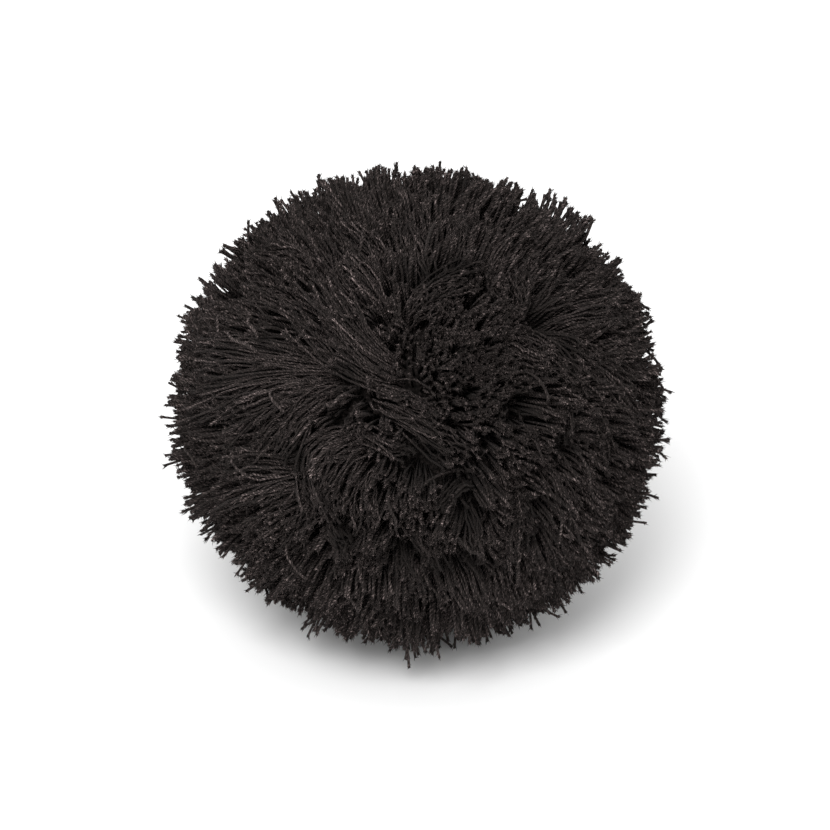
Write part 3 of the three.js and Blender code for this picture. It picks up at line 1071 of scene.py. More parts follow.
@dataclass(frozen=True)
class Fraying:
    """The opened plies at each cut end, and the loose fibres along the yarn."""

    prongs: int = 8
    prong_radius: float = 0.125 * MM
    prong_lengths: tuple[float, float] = (-0.4 * MM, 0.8 * MM)
    prong_spread: tuple[float, float] = (0.05 * MM, 0.7 * MM)
    prong_inset: float = 1.2 * MM
    prong_aside: float = 0.16 * MM
    fibre_radius: float = 0.09 * MM
    fibre_lengths: tuple[float, float] = (0.4 * MM, 1.4 * MM)
    fibre_slants: tuple[float, float] = (-0.4, 0.9)
    fibre_aside: float = 0.4
    bare_part: int = 3

    def frame(self, along: np.ndarray, rng: np.random.Generator) -> tuple[np.ndarray, np.ndarray]:
        """Gives two directions square to each given one, turned by chance.

        Args:
            along: Unit directions, n by 3.
            rng: The source of chance.

        Returns:
            Two directions, each n by 3.
        """
        first = unit(np.cross(along, rng.normal(0, 1, along.shape)))
        return first, np.cross(along, first)

    def opened_ends(
        self, strands: Strands, rng: np.random.Generator
    ) -> tuple[np.ndarray, np.ndarray]:
        """Spreads short points by chance round each cut end and the last stretch before it.

        Args:
            strands: The yarns.
            rng: The source of chance.

        Returns:
            The foot and tip of each point, n by 2 by 3, and the yarn that each belongs to.
        """
        owner = np.repeat(np.arange(len(strands.points)), self.prongs)
        count = len(owner)
        last = strands.points[:, -1]
        along = unit(last - strands.points[:, -2])
        u, v = self.frame(along, rng)
        turn = rng.random((count, 1)) * 2 * math.pi
        inset = rng.random((count, 1)) * self.prong_inset
        outward = u[owner] * np.cos(turn) + v[owner] * np.sin(turn)
        length = rng.uniform(*self.prong_lengths, (count, 1))
        spread = rng.uniform(*self.prong_spread, (count, 1))
        foot = last[owner] - along[owner] * inset + outward * self.prong_aside
        tip = last[owner] + along[owner] * length + outward * (self.prong_aside + spread)
        return np.stack([foot, tip], axis=1), owner

    def loose_fibres(
        self, strands: Strands, each: float, rng: np.random.Generator
    ) -> tuple[np.ndarray, np.ndarray]:
        """Stands thin fibres off the yarns, at a slant, in their outer two thirds.

        Args:
            strands: The yarns.
            each: How many fibres a yarn has on average.
            rng: The source of chance.

        Returns:
            The foot and tip of each fibre, n by 2 by 3, and the yarn that each belongs to.
        """
        yarns, stations, _ = strands.points.shape
        count = round(yarns * each)
        owner = rng.integers(0, yarns, count)
        step = rng.integers(stations // self.bare_part, stations - 1, count)
        share = rng.random((count, 1))
        low, high = strands.points[owner, step], strands.points[owner, step + 1]
        along = unit(high - low)
        u, v = self.frame(along, rng)
        slant = rng.uniform(*self.fibre_slants, (count, 1))
        length = rng.uniform(*self.fibre_lengths, (count, 1))
        foot = low * (1 - share) + high * share
        aside = rng.normal(0, self.fibre_aside, (count, 1))
        tip = foot + unit(u + along * slant + v * aside) * length
        return np.stack([foot, tip], axis=1), owner


@dataclass
class MeshSheet:
    """A mesh's arrays: points, face corners, the size of each face, maps and a tint, which for the
    yarn carries painted shade and light.
    """

    points: np.ndarray
    corners: np.ndarray
    sizes: np.ndarray
    maps: dict[str, np.ndarray]
    tint: np.ndarray

    def build(self, name: str, material: bpy.types.Material) -> bpy.types.Object:
        """Puts the arrays into a new object at the origin, which rides on the part's body.

        Args:
            name: The piece's name.
            material: Its finish.

        Returns:
            The finished piece.
        """
        mesh = bpy.data.meshes.new(name)
        mesh.vertices.add(len(self.points))
        mesh.vertices.foreach_set("co", self.points.astype(np.float32).ravel())
        mesh.loops.add(len(self.corners))
        mesh.loops.foreach_set("vertex_index", self.corners.astype(np.int32))
        mesh.polygons.add(len(self.sizes))
        starts = np.cumsum(self.sizes) - self.sizes
        mesh.polygons.foreach_set("loop_start", starts.astype(np.int32))
        mesh.polygons.foreach_set("use_smooth", np.ones(len(self.sizes), bool))
        for map_name, places in self.maps.items():
            layer = mesh.uv_layers.new(name=map_name)
            layer.data.foreach_set("uv", places.astype(np.float32).ravel())
        tint = mesh.attributes.new(TINT, "FLOAT", "POINT")
        tint.data.foreach_set("value", self.tint.astype(np.float32))
        mesh.update(calc_edges=True)
        mesh.validate()
        mesh.materials.append(material)
        piece = bpy.data.objects.new(name, mesh)
        bpy.context.scene.collection.objects.link(piece)
        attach(piece, BODY)
        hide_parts(NODE)
        return piece


@dataclass(frozen=True)
class Tubes:
    """Closed tubes that end in a point: rings of corners along each, and a corner at the tip.

    On the bake map each tube has a cell, in which the foot is a small ellipse below the sides.
    """

    sides: int
    cell_tallness: float = 7.5
    cell_margin: float = 0.08
    foot_centre: tuple[float, float] = (0.5, 0.04)
    foot_size: tuple[float, float] = (0.45, 0.035)
    sides_from: float = 0.1
    sides_high: float = 0.9

    def rings(self, points: np.ndarray, radii: np.ndarray, across: np.ndarray) -> np.ndarray:
        """Carries a round profile along each tube: its corners go round the tube's direction.

        Args:
            points: The stations, n by s by 3, with the tip last.
            radii: The radius at each station but the tip, n by s - 1.
            across: A direction across each tube, n by 3.

        Returns:
            The corners, n by s - 1 by sides by 3.
        """
        along = unit(np.gradient(points, axis=1))[:, :-1]
        u = unit(np.cross(along, across[:, None, :]))
        v = np.cross(along, u)
        turn = (np.arange(self.sides) * 2 * math.pi / self.sides)[:, None]
        wheel = u[:, :, None, :] * np.cos(turn) + v[:, :, None, :] * np.sin(turn)
        return points[:, :-1, None, :] + wheel * radii[..., None, None]

    def pattern(self, rings: int) -> tuple[np.ndarray, np.ndarray, np.ndarray, np.ndarray]:
        """Lays out one tube's faces: four-sided ones between rings, a fan at the tip and a foot.

        Args:
            rings: How many rings the tube has.

        Returns:
            The face corners, the size of each face, and for each face corner the share of a turn
            and the ring, which is one more at the tip.
        """
        sides = self.sides
        ring, side = np.meshgrid(np.arange(rings - 1), np.arange(sides), indexing="ij")
        after = (side + 1) % sides
        low, high = ring * sides, (ring + 1) * sides
        quads = np.stack([low + side, low + after, high + after, high + side], axis=-1)
        around = np.arange(sides)
        last = (rings - 1) * sides
        tip = np.full(sides, rings * sides)
        fan = np.stack([last + around, last + (around + 1) % sides, tip], axis=1)
        foot = around[::-1]
        corners = np.concatenate([quads.ravel(), fan.ravel(), foot])
        sizes = np.concatenate([np.full(quads.size // 4, 4), np.full(sides, 3), [sides]])
        turn = np.concatenate(
            [
                np.stack([side, side + 1, side + 1, side], axis=-1).ravel(),
                np.stack([around, around + 1, around + 0.5], axis=1).ravel(),
                foot,
            ]
        )
        station = np.concatenate(
            [
                np.stack([ring, ring, ring + 1, ring + 1], axis=-1).ravel(),
                np.tile([rings - 1, rings - 1, rings], sides),
                np.zeros(sides, int),
            ]
        )
        return corners, sizes, turn / sides, station

    def cells(self, count: int, turn: np.ndarray, level: np.ndarray) -> np.ndarray:
        """Lays each tube into its own cell of a grid, its length upward and its foot below.

        Args:
            count: How many tubes.
            turn: The share of a turn of each face corner of one tube, the foot's corners last.
            level: The ring of each, as a share of the last.

        Returns:
            A place on the bake map for each face corner of every tube.
        """
        foot = np.arange(len(turn)) >= len(turn) - self.sides
        angle = turn * 2 * math.pi
        foot_x = self.foot_centre[0] + self.foot_size[0] * np.cos(angle)
        foot_y = self.foot_centre[1] + self.foot_size[1] * np.sin(angle)
        cell_x = np.where(foot, foot_x, turn)
        cell_y = np.where(foot, foot_y, self.sides_from + self.sides_high * level)
        columns = math.ceil(math.sqrt(count * self.cell_tallness))
        rows = math.ceil(count / columns)
        index = np.arange(count)
        margin = self.cell_margin
        x = (index % columns)[:, None] + margin + (1 - 2 * margin) * cell_x
        y = (index // columns)[:, None] + margin / 4 + (1 - margin / 2) * cell_y
        return np.stack([x / columns, y / rows], axis=-1).reshape(-1, 2)

    def sheet(
        self,
        points: np.ndarray,
        radii: np.ndarray,
        across: np.ndarray,
        tint: np.ndarray,
        start: np.ndarray,
    ) -> MeshSheet:
        """Makes the arrays of closed tubes.

        The lay map gives the turn round each tube and the millimetres along it.

        Args:
            points: The stations, n by s by 3, with the tip last.
            radii: The radius at each station but the tip, n by s - 1.
            across: A direction across each tube, n by 3.
            tint: One number for each station, n by s.
            start: The millimetres at which each tube's twist starts, n.

        Returns:
            The mesh's arrays.
        """
        count, stations, _ = points.shape
        rings = self.rings(points, radii, across)
        body = np.concatenate([rings.reshape(count, -1, 3), points[:, -1:]], axis=1)
        body[..., 2] = np.maximum(body[..., 2], 0)
        per = body.shape[1]
        one, sizes, turn, station = self.pattern(stations - 1)
        corners = (np.arange(count)[:, None] * per + one[None, :]).ravel()
        steps = np.linalg.norm(np.diff(points, axis=1), axis=2)
        length = np.concatenate([np.zeros((count, 1)), np.cumsum(steps, axis=1)], axis=1) / MM
        lay_y = length[:, station] + start[:, None]
        lay = np.stack([np.broadcast_to(turn, lay_y.shape), lay_y], axis=-1).reshape(-1, 2)
        bake = self.cells(count, turn, station / (stations - 1))
        ring_tint = np.repeat(tint[:, :-1], self.sides, axis=1)
        return MeshSheet(
            body.reshape(-1, 3),
            corners,
            np.tile(sizes, count),
            {BAKE_MAP: bake, LAY_MAP: lay},
            np.concatenate([ring_tint, tint[:, -1:]], axis=1).ravel(),
        )


def joined(sheets: list[MeshSheet]) -> MeshSheet:
    """Joins sheets into one, each with its own band of the bake map.

    The bands' heights are to each other as the square roots of the sheets' numbers of corners.

    Args:
        sheets: The sheets.

    Returns:
        One sheet.
    """
    weight = np.sqrt([len(sheet.corners) for sheet in sheets])
    high = weight / weight.sum()
    low = np.cumsum(high) - high
    shift = np.cumsum([0] + [len(sheet.points) for sheet in sheets[:-1]])
    bands = zip(sheets, high, low)
    bake = [sheet.maps[BAKE_MAP] * [1, band] + [0, foot] for sheet, band, foot in bands]
    lay = [sheet.maps[LAY_MAP] for sheet in sheets]
    return MeshSheet(
        np.concatenate([sheet.points for sheet in sheets]),
        np.concatenate([sheet.corners + first for sheet, first in zip(sheets, shift)]),
        np.concatenate([sheet.sizes for sheet in sheets]),
        {BAKE_MAP: np.concatenate(bake), LAY_MAP: np.concatenate(lay)},
        np.concatenate([sheet.tint for sheet in sheets]),
    )


class NodeBench:
    """A short way to lay out a material's nodes."""

    def __init__(self, name: str) -> None:
        """Starts an empty material that ends in one Principled shader.

        Args:
            name: The material's name.
        """
        self.material = bpy.data.materials.new(name)
        self.material.use_nodes = True
        self.tree = self.material.node_tree
        self.tree.nodes.clear()
        output = self.tree.nodes.new("ShaderNodeOutputMaterial")
        self.shader = self.tree.nodes.new("ShaderNodeBsdfPrincipled")
        self.tree.links.new(self.shader.outputs["BSDF"], output.inputs["Surface"])

    def add(self, kind: str, **settings: object) -> bpy.types.Node:
        """Adds a node and sets its properties.

        Args:
            kind: The node's type.
            settings: Its properties by name.

        Returns:
            The new node.
        """
        node = self.tree.nodes.new(kind)
        for key, value in settings.items():
            setattr(node, key, value)
        return node

    def link(self, source: bpy.types.NodeSocket, target: bpy.types.NodeSocket) -> None:
        """Joins an output to an input."""
        self.tree.links.new(source, target)

    def math(self, operation: str, *values: object) -> bpy.types.NodeSocket:
        """Adds one step of arithmetic on sockets or numbers.

        Args:
            operation: The name of the operation.
            values: Sockets or plain numbers, in the order of its inputs.

        Returns:
            The result's socket.
        """
        node = self.add("ShaderNodeMath", operation=operation)
        for socket, value in zip(node.inputs, values):
            if isinstance(value, bpy.types.NodeSocket):
                self.link(value, socket)
            else:
                socket.default_value = value
        return node.outputs[0]

    def blend(
        self, share: bpy.types.NodeSocket, low: tuple[float, ...], high: tuple[float, ...]
    ) -> bpy.types.NodeSocket:
        """Mixes two colours by a share.

        Args:
            share: 0 for the low colour and 1 for the high one.
            low: The first colour.
            high: The second colour.

        Returns:
            The mixed colour's socket.
        """
        ramp = self.add("ShaderNodeValToRGB")
        ramp.color_ramp.elements[0].color = (*low, 1)
        ramp.color_ramp.elements[1].color = (*high, 1)
        self.link(share, ramp.inputs["Fac"])
        return ramp.outputs["Color"]


@dataclass(frozen=True)
class YarnFinish:
    """Off-black two-ply yarn: the plies' twist, with painted shade in the grooves between them,
    flecks of painted highlight where fibres catch light, and a matt sheen.
    """

    dark: tuple[float, float, float] = (0.0122, 0.0100, 0.0090)
    light: tuple[float, float, float] = (0.4000, 0.3160, 0.3020)
    twist_pitch: float = 1.7
    ply_power: float = 1.8
    ply_light: float = 0.07
    groove_light: float = 0.055
    flecks_round: float = 4.0
    flecks_a_millimetre: float = 1.0
    fleck_detail: float = 1.0
    fleck_roughness: float = 0.6
    fleck_from: float = 0.50
    fleck_to: float = 0.58
    fleck_height: float = 0.5
    bump_height: float = 0.14 * MM
    bump_strength: float = 0.9
    roughness: float = 0.85
    gloss: float = 0.08
    sheen: float = 0.03
    sheen_roughness: float = 0.45
    sheen_colour: tuple[float, float, float] = (0.9, 0.82, 0.80)

    def make(self) -> bpy.types.Material:
        """Lays out the nodes: a double helix round the yarn, flecks of fibre, tint and bump.

        The plies rise as the size of a cosine of the turn round the yarn less the length along it
        over the pitch, which peaks twice in a turn. The colour's share of light is the plies times
        the flecks, with a little more everywhere, times the yarn's tint: the grooves between the
        plies are painted darker, a painted shade, the flecks are painted highlights where loose
        fibres catch the light, and the tint brings the yarn's painted shade and light.

        Returns:
            The material.
        """
        bench = NodeBench("yarn")
        lay = bench.add("ShaderNodeUVMap", uv_map=LAY_MAP)
        parts = bench.add("ShaderNodeSeparateXYZ")
        bench.link(lay.outputs["UV"], parts.inputs["Vector"])
        wound = bench.math("DIVIDE", parts.outputs["Y"], self.twist_pitch)
        phase = bench.math("SUBTRACT", parts.outputs["X"], wound)
        angle = bench.math("MULTIPLY", phase, 2 * math.pi)
        wave = bench.math("ABSOLUTE", bench.math("COSINE", angle))
        ply = bench.math("POWER", wave, self.ply_power)

        round_ply = bench.math("MULTIPLY", phase, self.flecks_round)
        down_ply = bench.math("MULTIPLY", parts.outputs["Y"], self.flecks_a_millimetre)
        place = bench.add("ShaderNodeCombineXYZ")
        bench.link(round_ply, place.inputs["X"])
        bench.link(down_ply, place.inputs["Y"])
        fibre = bench.add("ShaderNodeTexNoise", noise_dimensions="2D")
        fibre.inputs["Scale"].default_value = 1.0
        fibre.inputs["Detail"].default_value = self.fleck_detail
        fibre.inputs["Roughness"].default_value = self.fleck_roughness
        bench.link(place.outputs["Vector"], fibre.inputs["Vector"])

        tint = bench.add("ShaderNodeAttribute", attribute_name=TINT)
        fleck = bench.add("ShaderNodeMapRange", interpolation_type="SMOOTHSTEP")
        fleck.inputs["From Min"].default_value = self.fleck_from
        fleck.inputs["From Max"].default_value = self.fleck_to
        bench.link(fibre.outputs["Fac"], fleck.inputs["Value"])
        # Painted highlights on the flecks and painted shade in the ply grooves, times the tint's
        # painted shade and light.
        ply_share = bench.math("ADD", fleck.outputs["Result"], self.ply_light)
        lit = bench.math("ADD", bench.math("MULTIPLY", ply, ply_share), self.groove_light)
        share = bench.math("MULTIPLY", lit, tint.outputs["Fac"])
        bench.link(bench.blend(share, self.dark, self.light), bench.shader.inputs["Base Color"])

        fleck_rise = bench.math("MULTIPLY", fleck.outputs["Result"], self.fleck_height)
        height = bench.math("ADD", ply, fleck_rise)
        bump = bench.add("ShaderNodeBump")
        bump.inputs["Strength"].default_value = self.bump_strength
        bump.inputs["Distance"].default_value = self.bump_height
        bench.link(height, bump.inputs["Height"])
        bench.link(bump.outputs["Normal"], bench.shader.inputs["Normal"])
        bench.shader.inputs["Roughness"].default_value = self.roughness
        bench.shader.inputs["Specular IOR Level"].default_value = self.gloss
        bench.shader.inputs["Sheen Weight"].default_value = self.sheen
        bench.shader.inputs["Sheen Roughness"].default_value = self.sheen_roughness
        bench.shader.inputs["Sheen Tint"].default_value = (*self.sheen_colour, 1)
        return bench.material


@dataclass(frozen=True)
class HeartFinish:
    """The matted yarn in the depth between the locks."""

    dark: tuple[float, float, float] = (0.006, 0.0049, 0.0045)
    light: tuple[float, float, float] = (0.075, 0.0600, 0.0560)
    grain: float = 1100.0
    grain_detail: float = 4.0
    strand: float = 1300.0
    strand_power: float = 2.0
    bump_height: float = 0.5 * MM
    roughness: float = 0.95
    gloss: float = 0.1

    def make(self) -> bpy.types.Material:
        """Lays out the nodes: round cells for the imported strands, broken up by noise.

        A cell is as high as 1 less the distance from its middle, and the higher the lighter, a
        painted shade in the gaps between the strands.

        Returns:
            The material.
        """
        bench = NodeBench("packed_yarn")
        place = bench.add("ShaderNodeTexCoord")
        noise = bench.add("ShaderNodeTexNoise")
        noise.inputs["Scale"].default_value = self.grain
        noise.inputs["Detail"].default_value = self.grain_detail
        bench.link(place.outputs["Object"], noise.inputs["Vector"])
        cells = bench.add("ShaderNodeTexVoronoi")
        cells.inputs["Scale"].default_value = self.strand
        bench.link(place.outputs["Object"], cells.inputs["Vector"])
        height = bench.math("SUBTRACT", 1.0, cells.outputs["Distance"])
        rounded = bench.math("POWER", height, self.strand_power)
        share = bench.math("MULTIPLY", rounded, noise.outputs["Fac"])
        # Painted shade: darker in the gaps between the packed strands.
        bench.link(bench.blend(share, self.dark, self.light), bench.shader.inputs["Base Color"])
        bump = bench.add("ShaderNodeBump")
        bump.inputs["Distance"].default_value = self.bump_height
        bench.link(height, bump.inputs["Height"])
        bench.link(bump.outputs["Normal"], bench.shader.inputs["Normal"])
        bench.shader.inputs["Roughness"].default_value = self.roughness
        bench.shader.inputs["Specular IOR Level"].default_value = self.gloss
        return bench.material


@dataclass(frozen=True)
class Heart:
    """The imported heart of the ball, which shows only as the dark at the bottom of the gaps."""

    ball: Ball
    rows: int = 60
    columns: int = 96
    lump: float = 0.7 * MM
    first_wave: tuple[float, float, float] = (23.0, 9.0, 14.0)
    second_wave: tuple[float, float, float] = (-7.0, 26.0, 11.0)
    second_phase: float = 1.0
    tint: float = 0.5

    def build(self, material: bpy.types.Material) -> bpy.types.Object:
        """Makes the heart: an ellipsoid of latitude and longitude with a low wave over it.

        The wave is the product of two sines, each along a direction of its own.

        Args:
            material: Its finish.

        Returns:
            The finished piece.
        """
        rows, columns = self.rows, self.columns
        fall = np.linspace(0, math.pi, rows + 1)[1:-1, None]
        turn = np.arange(columns)[None, :] * 2 * math.pi / columns
        grid = np.stack(
            [
                np.sin(fall) * np.cos(turn),
                np.sin(fall) * np.sin(turn),
                np.cos(fall) * np.ones_like(turn),
            ],
            axis=-1,
        )
        directions = np.concatenate([grid.reshape(-1, 3), [[0, 0, 1], [0, 0, -1]]])
        first_sine = np.sin(directions @ np.array(self.first_wave))
        second_sine = np.sin(directions @ np.array(self.second_wave) + self.second_phase)
        wave = first_sine * second_sine
        distance = self.ball.reach(directions) * self.ball.heart_share + self.lump * wave
        points = directions * distance[:, None] + [0, 0, self.ball.centre_height]

        row, column = np.meshgrid(np.arange(rows - 2), np.arange(columns), indexing="ij")
        after = (column + 1) % columns
        quads = np.stack(
            [
                row * columns + column,
                (row + 1) * columns + column,
                (row + 1) * columns + after,
                row * columns + after,
            ],
            axis=-1,
        ).reshape(-1, 4)
        first = np.arange(columns)
        second = (first + 1) % columns
        last = (rows - 2) * columns
        top, bottom = len(points) - 2, len(points) - 1
        caps = np.concatenate(
            [
                np.stack([np.full(columns, top), first, second], axis=1),
                np.stack([np.full(columns, bottom), last + second, last + first], axis=1),
            ]
        )
        corners = np.concatenate([quads.ravel(), caps.ravel()])
        sizes = np.concatenate([np.full(len(quads), 4), np.full(len(caps), 3)])
        side_x = np.stack([column, column, column + 1, column + 1], axis=-1).ravel() / columns
        side_y = np.stack([row + 1, row + 2, row + 2, row + 1], axis=-1).ravel() / rows
        top_x = np.stack([first + 0.5, first, first + 1], axis=1).ravel() / columns
        bottom_x = np.stack([first + 0.5, first + 1, first], axis=1).ravel() / columns
        top_y = np.tile([0, 1, 1], columns) / rows
        bottom_y = np.tile([rows, rows - 1, rows - 1], columns) / rows
        bake_x = np.concatenate([side_x, top_x, bottom_x])
        bake_y = 1 - np.concatenate([side_y, top_y, bottom_y])
        bake = np.stack([bake_x, bake_y], axis=1)
        tint = np.full(len(points), self.tint)
        sheet = MeshSheet(points, corners, sizes, {BAKE_MAP: bake}, tint)
        return sheet.build("packed_heart", material)


@dataclass(frozen=True)
class YarnKind:
    """One kind of yarn: its pieces' name, the sides of a yarn, and its fibres on average."""

    name: str
    sides: int
    fibres: float


UPRIGHT = YarnKind("upright_yarn", sides=3, fibres=0.4)
COMBED = YarnKind("combed_tufts", sides=3, fibres=5.0)
STRAY = YarnKind("stray_yarn", sides=4, fibres=8.0)


@dataclass(frozen=True)
class CutYarn:
    """All the cut yarns with their frayed ends: how they are coloured, given painted shade and
    light, and made up.
    """

    ball: Ball
    yarn: Yarn
    fraying: Fraying
    hollows: Hollows
    yarn_tint: float = 0.25
    yarn_least: float = 0.25
    yarn_spread: float = 2.2
    fray_tint: float = 0.35
    fray_least: float = 0.2
    fray_spread: float = 2.0
    twist_starts: float = 60.0
    stray_seed: int = 9
    # The next six paint shade and light into the tint by depth: a painted shade that deepens below
    # the outside, and painted light that lifts it again deep down.
    open_depth: float = 1.6 * MM
    painted_shade_depth: float = 3.0 * MM
    least_painted_light: float = 0.10
    deep_painted_light: float = 0.50
    deep_from: float = 2.5 * MM
    deep_to: float = 8.0 * MM

    def yarns(self, strands: Strands, tint: np.ndarray, sides: int, start: np.ndarray) -> MeshSheet:
        """Makes the yarns themselves, whose ends are nearly flat under the fraying.

        Args:
            strands: The yarns.
            tint: One number for each station of each yarn.
            sides: How many sides a yarn has.
            start: Where each yarn's twist starts, in millimetres.

        Returns:
            The yarns' arrays.
        """
        yarn = self.yarn
        last = strands.points[:, -1]
        tip = last + unit(last - strands.points[:, -2]) * yarn.radius / 2
        points = np.concatenate([strands.points, tip[:, None]], axis=1)
        tint = np.concatenate([tint, tint[:, -1:]], axis=1)
        level = np.linspace(0, 1, strands.points.shape[1])
        thickness = between((yarn.root_radius, yarn.radius), np.minimum(1, level / yarn.full_from))
        radii = np.tile(thickness, (len(points), 1))
        return Tubes(sides).sheet(points, radii, strands.across, tint, start)

    def points_of(
        self, ways: np.ndarray, radius: float, tint: np.ndarray, rng: np.random.Generator
    ) -> MeshSheet:
        """Makes thin three-sided points, such as opened plies or loose fibres.

        Args:
            ways: The foot and tip of each, n by 2 by 3.
            radius: The radius at the foot.
            tint: One number for the foot and one for the tip of each.
            rng: The source of chance.

        Returns:
            The points' arrays.
        """
        across = unit(np.cross(ways[:, 1] - ways[:, 0], rng.normal(0, 1, (len(ways), 3))))
        radii = np.full((len(ways), 1), radius)
        start = rng.random(len(ways)) * self.twist_starts
        return Tubes(THREE_SIDED).sheet(ways, radii, across, tint, start)

    def end_tint(self, strands: Strands, owner: np.ndarray, rng: np.random.Generator) -> np.ndarray:
        """Gives opened plies or fibres their tints, each by chance times the painted light and shade
        at its yarn's cut end.

        Most are dark and a few are light, by the square of the chance.

        Args:
            strands: The yarns.
            owner: The yarn that each ply or fibre belongs to.
            rng: The source of chance.

        Returns:
            One number for the foot and one for the tip of each, n by 2.
        """
        chance = self.fray_least + self.fray_spread * rng.random((len(owner), 1)) ** 2
        return strands.light[owner, -1:] * self.fray_tint * chance * np.ones(2)

    def shaded(self, sheet: MeshSheet) -> MeshSheet:
        """Paints shade into a sheet's tint by its depth in the ball, a painted shade for the shade
        that matted fibres cast on the yarn.

        The tint fades by an exponential of the depth below the ball's outside, past a first stretch
        that keeps its tint. Deep down it rises again in step with the depth, painted light for the
        light that seeps inwards through real fibres. The hollows' painted shade darkens it further.

        Args:
            sheet: The sheet, whose tint is changed.

        Returns:
            The same sheet.
        """
        out = sheet.points - [0, 0, self.ball.centre_height]
        distance = np.linalg.norm(out, axis=1)
        directions = out / distance[:, None]
        depth = self.ball.reach(directions) - distance
        # Painted shade by depth, painted light deep down, and the hollows' painted shade.
        fade = np.exp(-np.maximum(0, depth - self.open_depth) / self.painted_shade_depth)
        deep = np.clip((depth - self.deep_from) / (self.deep_to - self.deep_from), 0, 1)
        least = between((self.least_painted_light, self.deep_painted_light), deep)
        sheet.tint = np.maximum(sheet.tint * fade, least) * self.hollows.shade(directions, depth)
        return sheet

    def build(
        self, kind: YarnKind, strands: Strands, material: bpy.types.Material
    ) -> list[bpy.types.Object]:
        """Makes the pieces of one kind of yarn, each of the yarns that end on one side.

        Args:
            kind: The kind of yarn.
            strands: The yarns.
            material: The yarn's finish.

        Returns:
            One piece for each side.
        """
        faces = np.array([side.value for side in Side])
        middle = unit(strands.points[:, -1] - [0, 0, self.ball.centre_height])
        nearest = np.argmax(middle @ faces.T, axis=1)
        made = []
        for number, side in enumerate(Side):
            sheet = self.dressed(kind, strands.part(nearest == number), number)
            made.append(sheet.build(f"{kind.name}_{side.name.lower()}", material))
        return made

    def build_strays(self, strands: Strands, material: bpy.types.Material) -> bpy.types.Object:
        """Makes the one piece of the stray yarns."""
        return self.dressed(STRAY, strands, self.stray_seed).build(STRAY.name, material)

    def dressed(self, kind: YarnKind, strands: Strands, seed: int) -> MeshSheet:
        """Makes yarns with their opened ends and loose fibres, in one sheet.

        A yarn's tint is by chance, as for the fibres, times its painted light and shade.

        Args:
            kind: The kind of yarn.
            strands: The yarns.
            seed: Where the chances start.

        Returns:
            The arrays of all of them.
        """
        rng = np.random.default_rng(seed)
        fraying = self.fraying
        count = len(strands.points)
        chance = self.yarn_least + self.yarn_spread * rng.random((count, 1)) ** 2
        tint = self.yarn_tint * strands.light * chance
        start = rng.random(count) * self.twist_starts
        ends, end_owner = fraying.opened_ends(strands, rng)
        loose, loose_owner = fraying.loose_fibres(strands, kind.fibres, rng)
        end_tint = self.end_tint(strands, end_owner, rng)
        loose_tint = self.end_tint(strands, loose_owner, rng)
        sheets = [
            self.yarns(strands, tint, kind.sides, start),
            self.points_of(ends, fraying.prong_radius, end_tint, rng),
            self.points_of(loose, fraying.fibre_radius, loose_tint, rng),
        ]
        return self.shaded(joined(sheets))


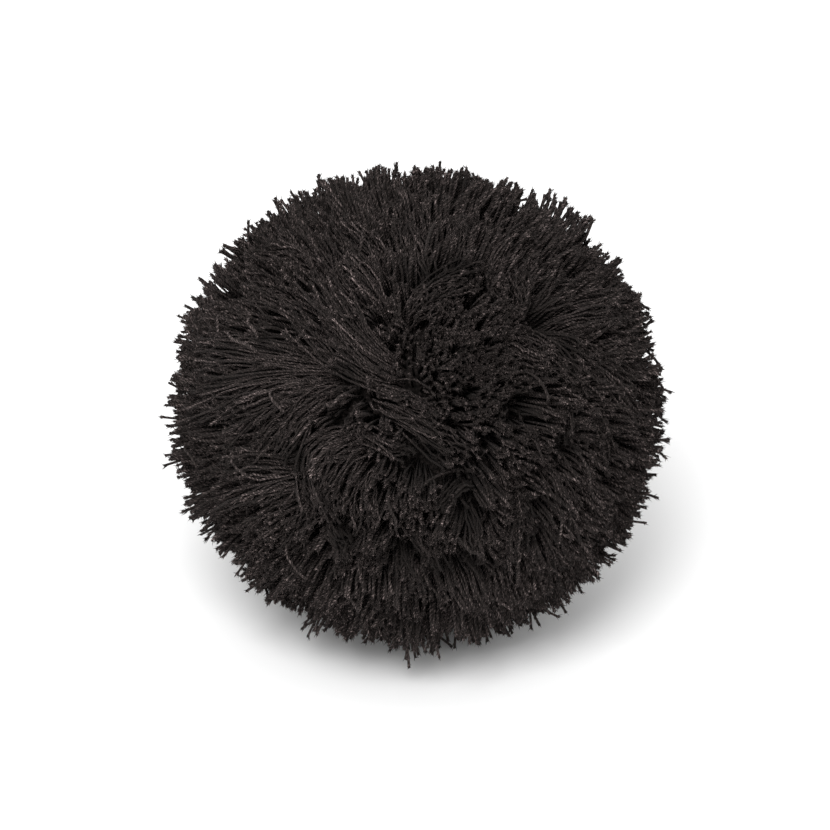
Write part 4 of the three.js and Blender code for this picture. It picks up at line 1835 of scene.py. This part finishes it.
@dataclass(frozen=True)
class Studio:
    """The pale floor, the soft light and the camera, which looks as the photograph does."""

    ball: Ball
    floor_half: float = 3.0
    floor_colour: tuple[float, float, float] = (0.93, 0.93, 0.93)
    sky: float = 0.97
    key_power: float = 11.5
    key_size: float = 0.6
    key_place: tuple[float, float, float] = (-0.16, -0.78, 0.96)
    camera_away: float = 1.25
    camera_tilt: float = math.radians(30)
    frame_pixels: float = 830.0
    ball_pixels: float = 519.0
    ball_width: float = 102 * MM
    off_right: float = 3.5
    off_up: float = 9.0
    sensor: float = 36.0

    def floor(self) -> None:
        """Lays a wide pale floor."""
        half = self.floor_half
        mesh = bpy.data.meshes.new("floor")
        corners = [(-half, -half, 0), (half, -half, 0), (half, half, 0), (-half, half, 0)]
        mesh.from_pydata(corners, [], [(0, 1, 2, 3)])
        bench = NodeBench("pale_floor")
        bench.shader.inputs["Base Color"].default_value = (*self.floor_colour, 1)
        bench.shader.inputs["Roughness"].default_value = 1.0
        bench.shader.inputs["Specular IOR Level"].default_value = 0.0
        mesh.materials.append(bench.material)
        piece = bpy.data.objects.new("floor", mesh)
        bpy.context.scene.collection.objects.link(piece)
        piece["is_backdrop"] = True

    def lights(self) -> None:
        """Sets an even white surround and one large soft light beside the camera."""
        world = bpy.data.worlds.new("surround")
        world.use_nodes = True
        world.node_tree.nodes["Background"].inputs["Color"].default_value = (1, 1, 1, 1)
        world.node_tree.nodes["Background"].inputs["Strength"].default_value = self.sky
        bpy.context.scene.world = world
        lamp = bpy.data.lights.new("key", "AREA")
        lamp.shape = "DISK"
        lamp.size = self.key_size
        lamp.energy = self.key_power
        light = bpy.data.objects.new("key", lamp)
        light.location = self.key_place
        aim = Vector((0, 0, self.ball.centre_height)) - light.location
        light.rotation_euler = aim.to_track_quat("-Z", "Y").to_euler()
        bpy.context.scene.collection.objects.link(light)

    def camera(self) -> None:
        """Looks down at the ball, so that it lies where the photograph has it in the frame."""
        tilt = self.camera_tilt
        back = Vector((0, -math.cos(tilt), math.sin(tilt)))
        upward = Vector((0, math.sin(tilt), math.cos(tilt)))
        metres_a_pixel = self.ball_width / self.ball_pixels
        centre = Vector((0, 0, self.ball.centre_height))
        aim = centre - upward * self.off_up * metres_a_pixel
        aim -= Vector((1, 0, 0)) * self.off_right * metres_a_pixel
        data = bpy.data.cameras.new("camera")
        data.sensor_width = self.sensor
        data.lens = self.sensor * self.camera_away / (self.frame_pixels * metres_a_pixel)
        camera = bpy.data.objects.new("camera", data)
        camera.location = aim + back * self.camera_away
        camera.rotation_euler = back.to_track_quat("Z", "Y").to_euler()
        bpy.context.scene.collection.objects.link(camera)
        bpy.context.scene.camera = camera

    def build(self) -> None:
        """Sets up the floor, the light, the camera and plain colour handling."""
        self.floor()
        self.lights()
        self.camera()
        bpy.context.scene.view_settings.view_transform = "Standard"


def triangles(piece: bpy.types.Object) -> int:
    """Counts a piece's triangles: each face has two fewer than its corners."""
    return len(piece.data.loops) - 2 * len(piece.data.polygons)


def write_sizes() -> None:
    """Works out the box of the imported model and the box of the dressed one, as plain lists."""
    boxes = {"cad": CAD_BOX, "visual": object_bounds()}
    plain = {name: [[float(x) for x in corner] for corner in box] for name, box in boxes.items()}


def main() -> None:
    """Builds the pom pom, its heart and the studio in order, and reports each piece."""
    logging.basicConfig(level=logging.INFO, format="%(message)s")
    ball = Ball()
    locks = Locks(Combing(ball))
    yarn = Yarn()
    tufts = CombedTufts(ball, locks.combing, yarn)
    hollows = Hollows(locks.combing)
    upright = UprightYarn(ball, locks, tufts, hollows, yarn)
    finish = YarnFinish().make()
    cut = CutYarn(ball, yarn, Fraying(), hollows)
    pieces = [Heart(ball).build(HeartFinish().make())]
    pieces += cut.build(UPRIGHT, upright.strands(), finish)
    pieces += cut.build(COMBED, tufts.strands(), finish)
    pieces.append(cut.build_strays(StrayYarns(locks.combing, yarn).strands(), finish))
    for piece in pieces:
        log.info("%s: %d triangles", piece.name, triangles(piece))
    log.info("all pieces: %d triangles", sum(triangles(piece) for piece in pieces))
    Studio(ball).build()
    write_sizes()


if __name__ == "__main__":
    main()
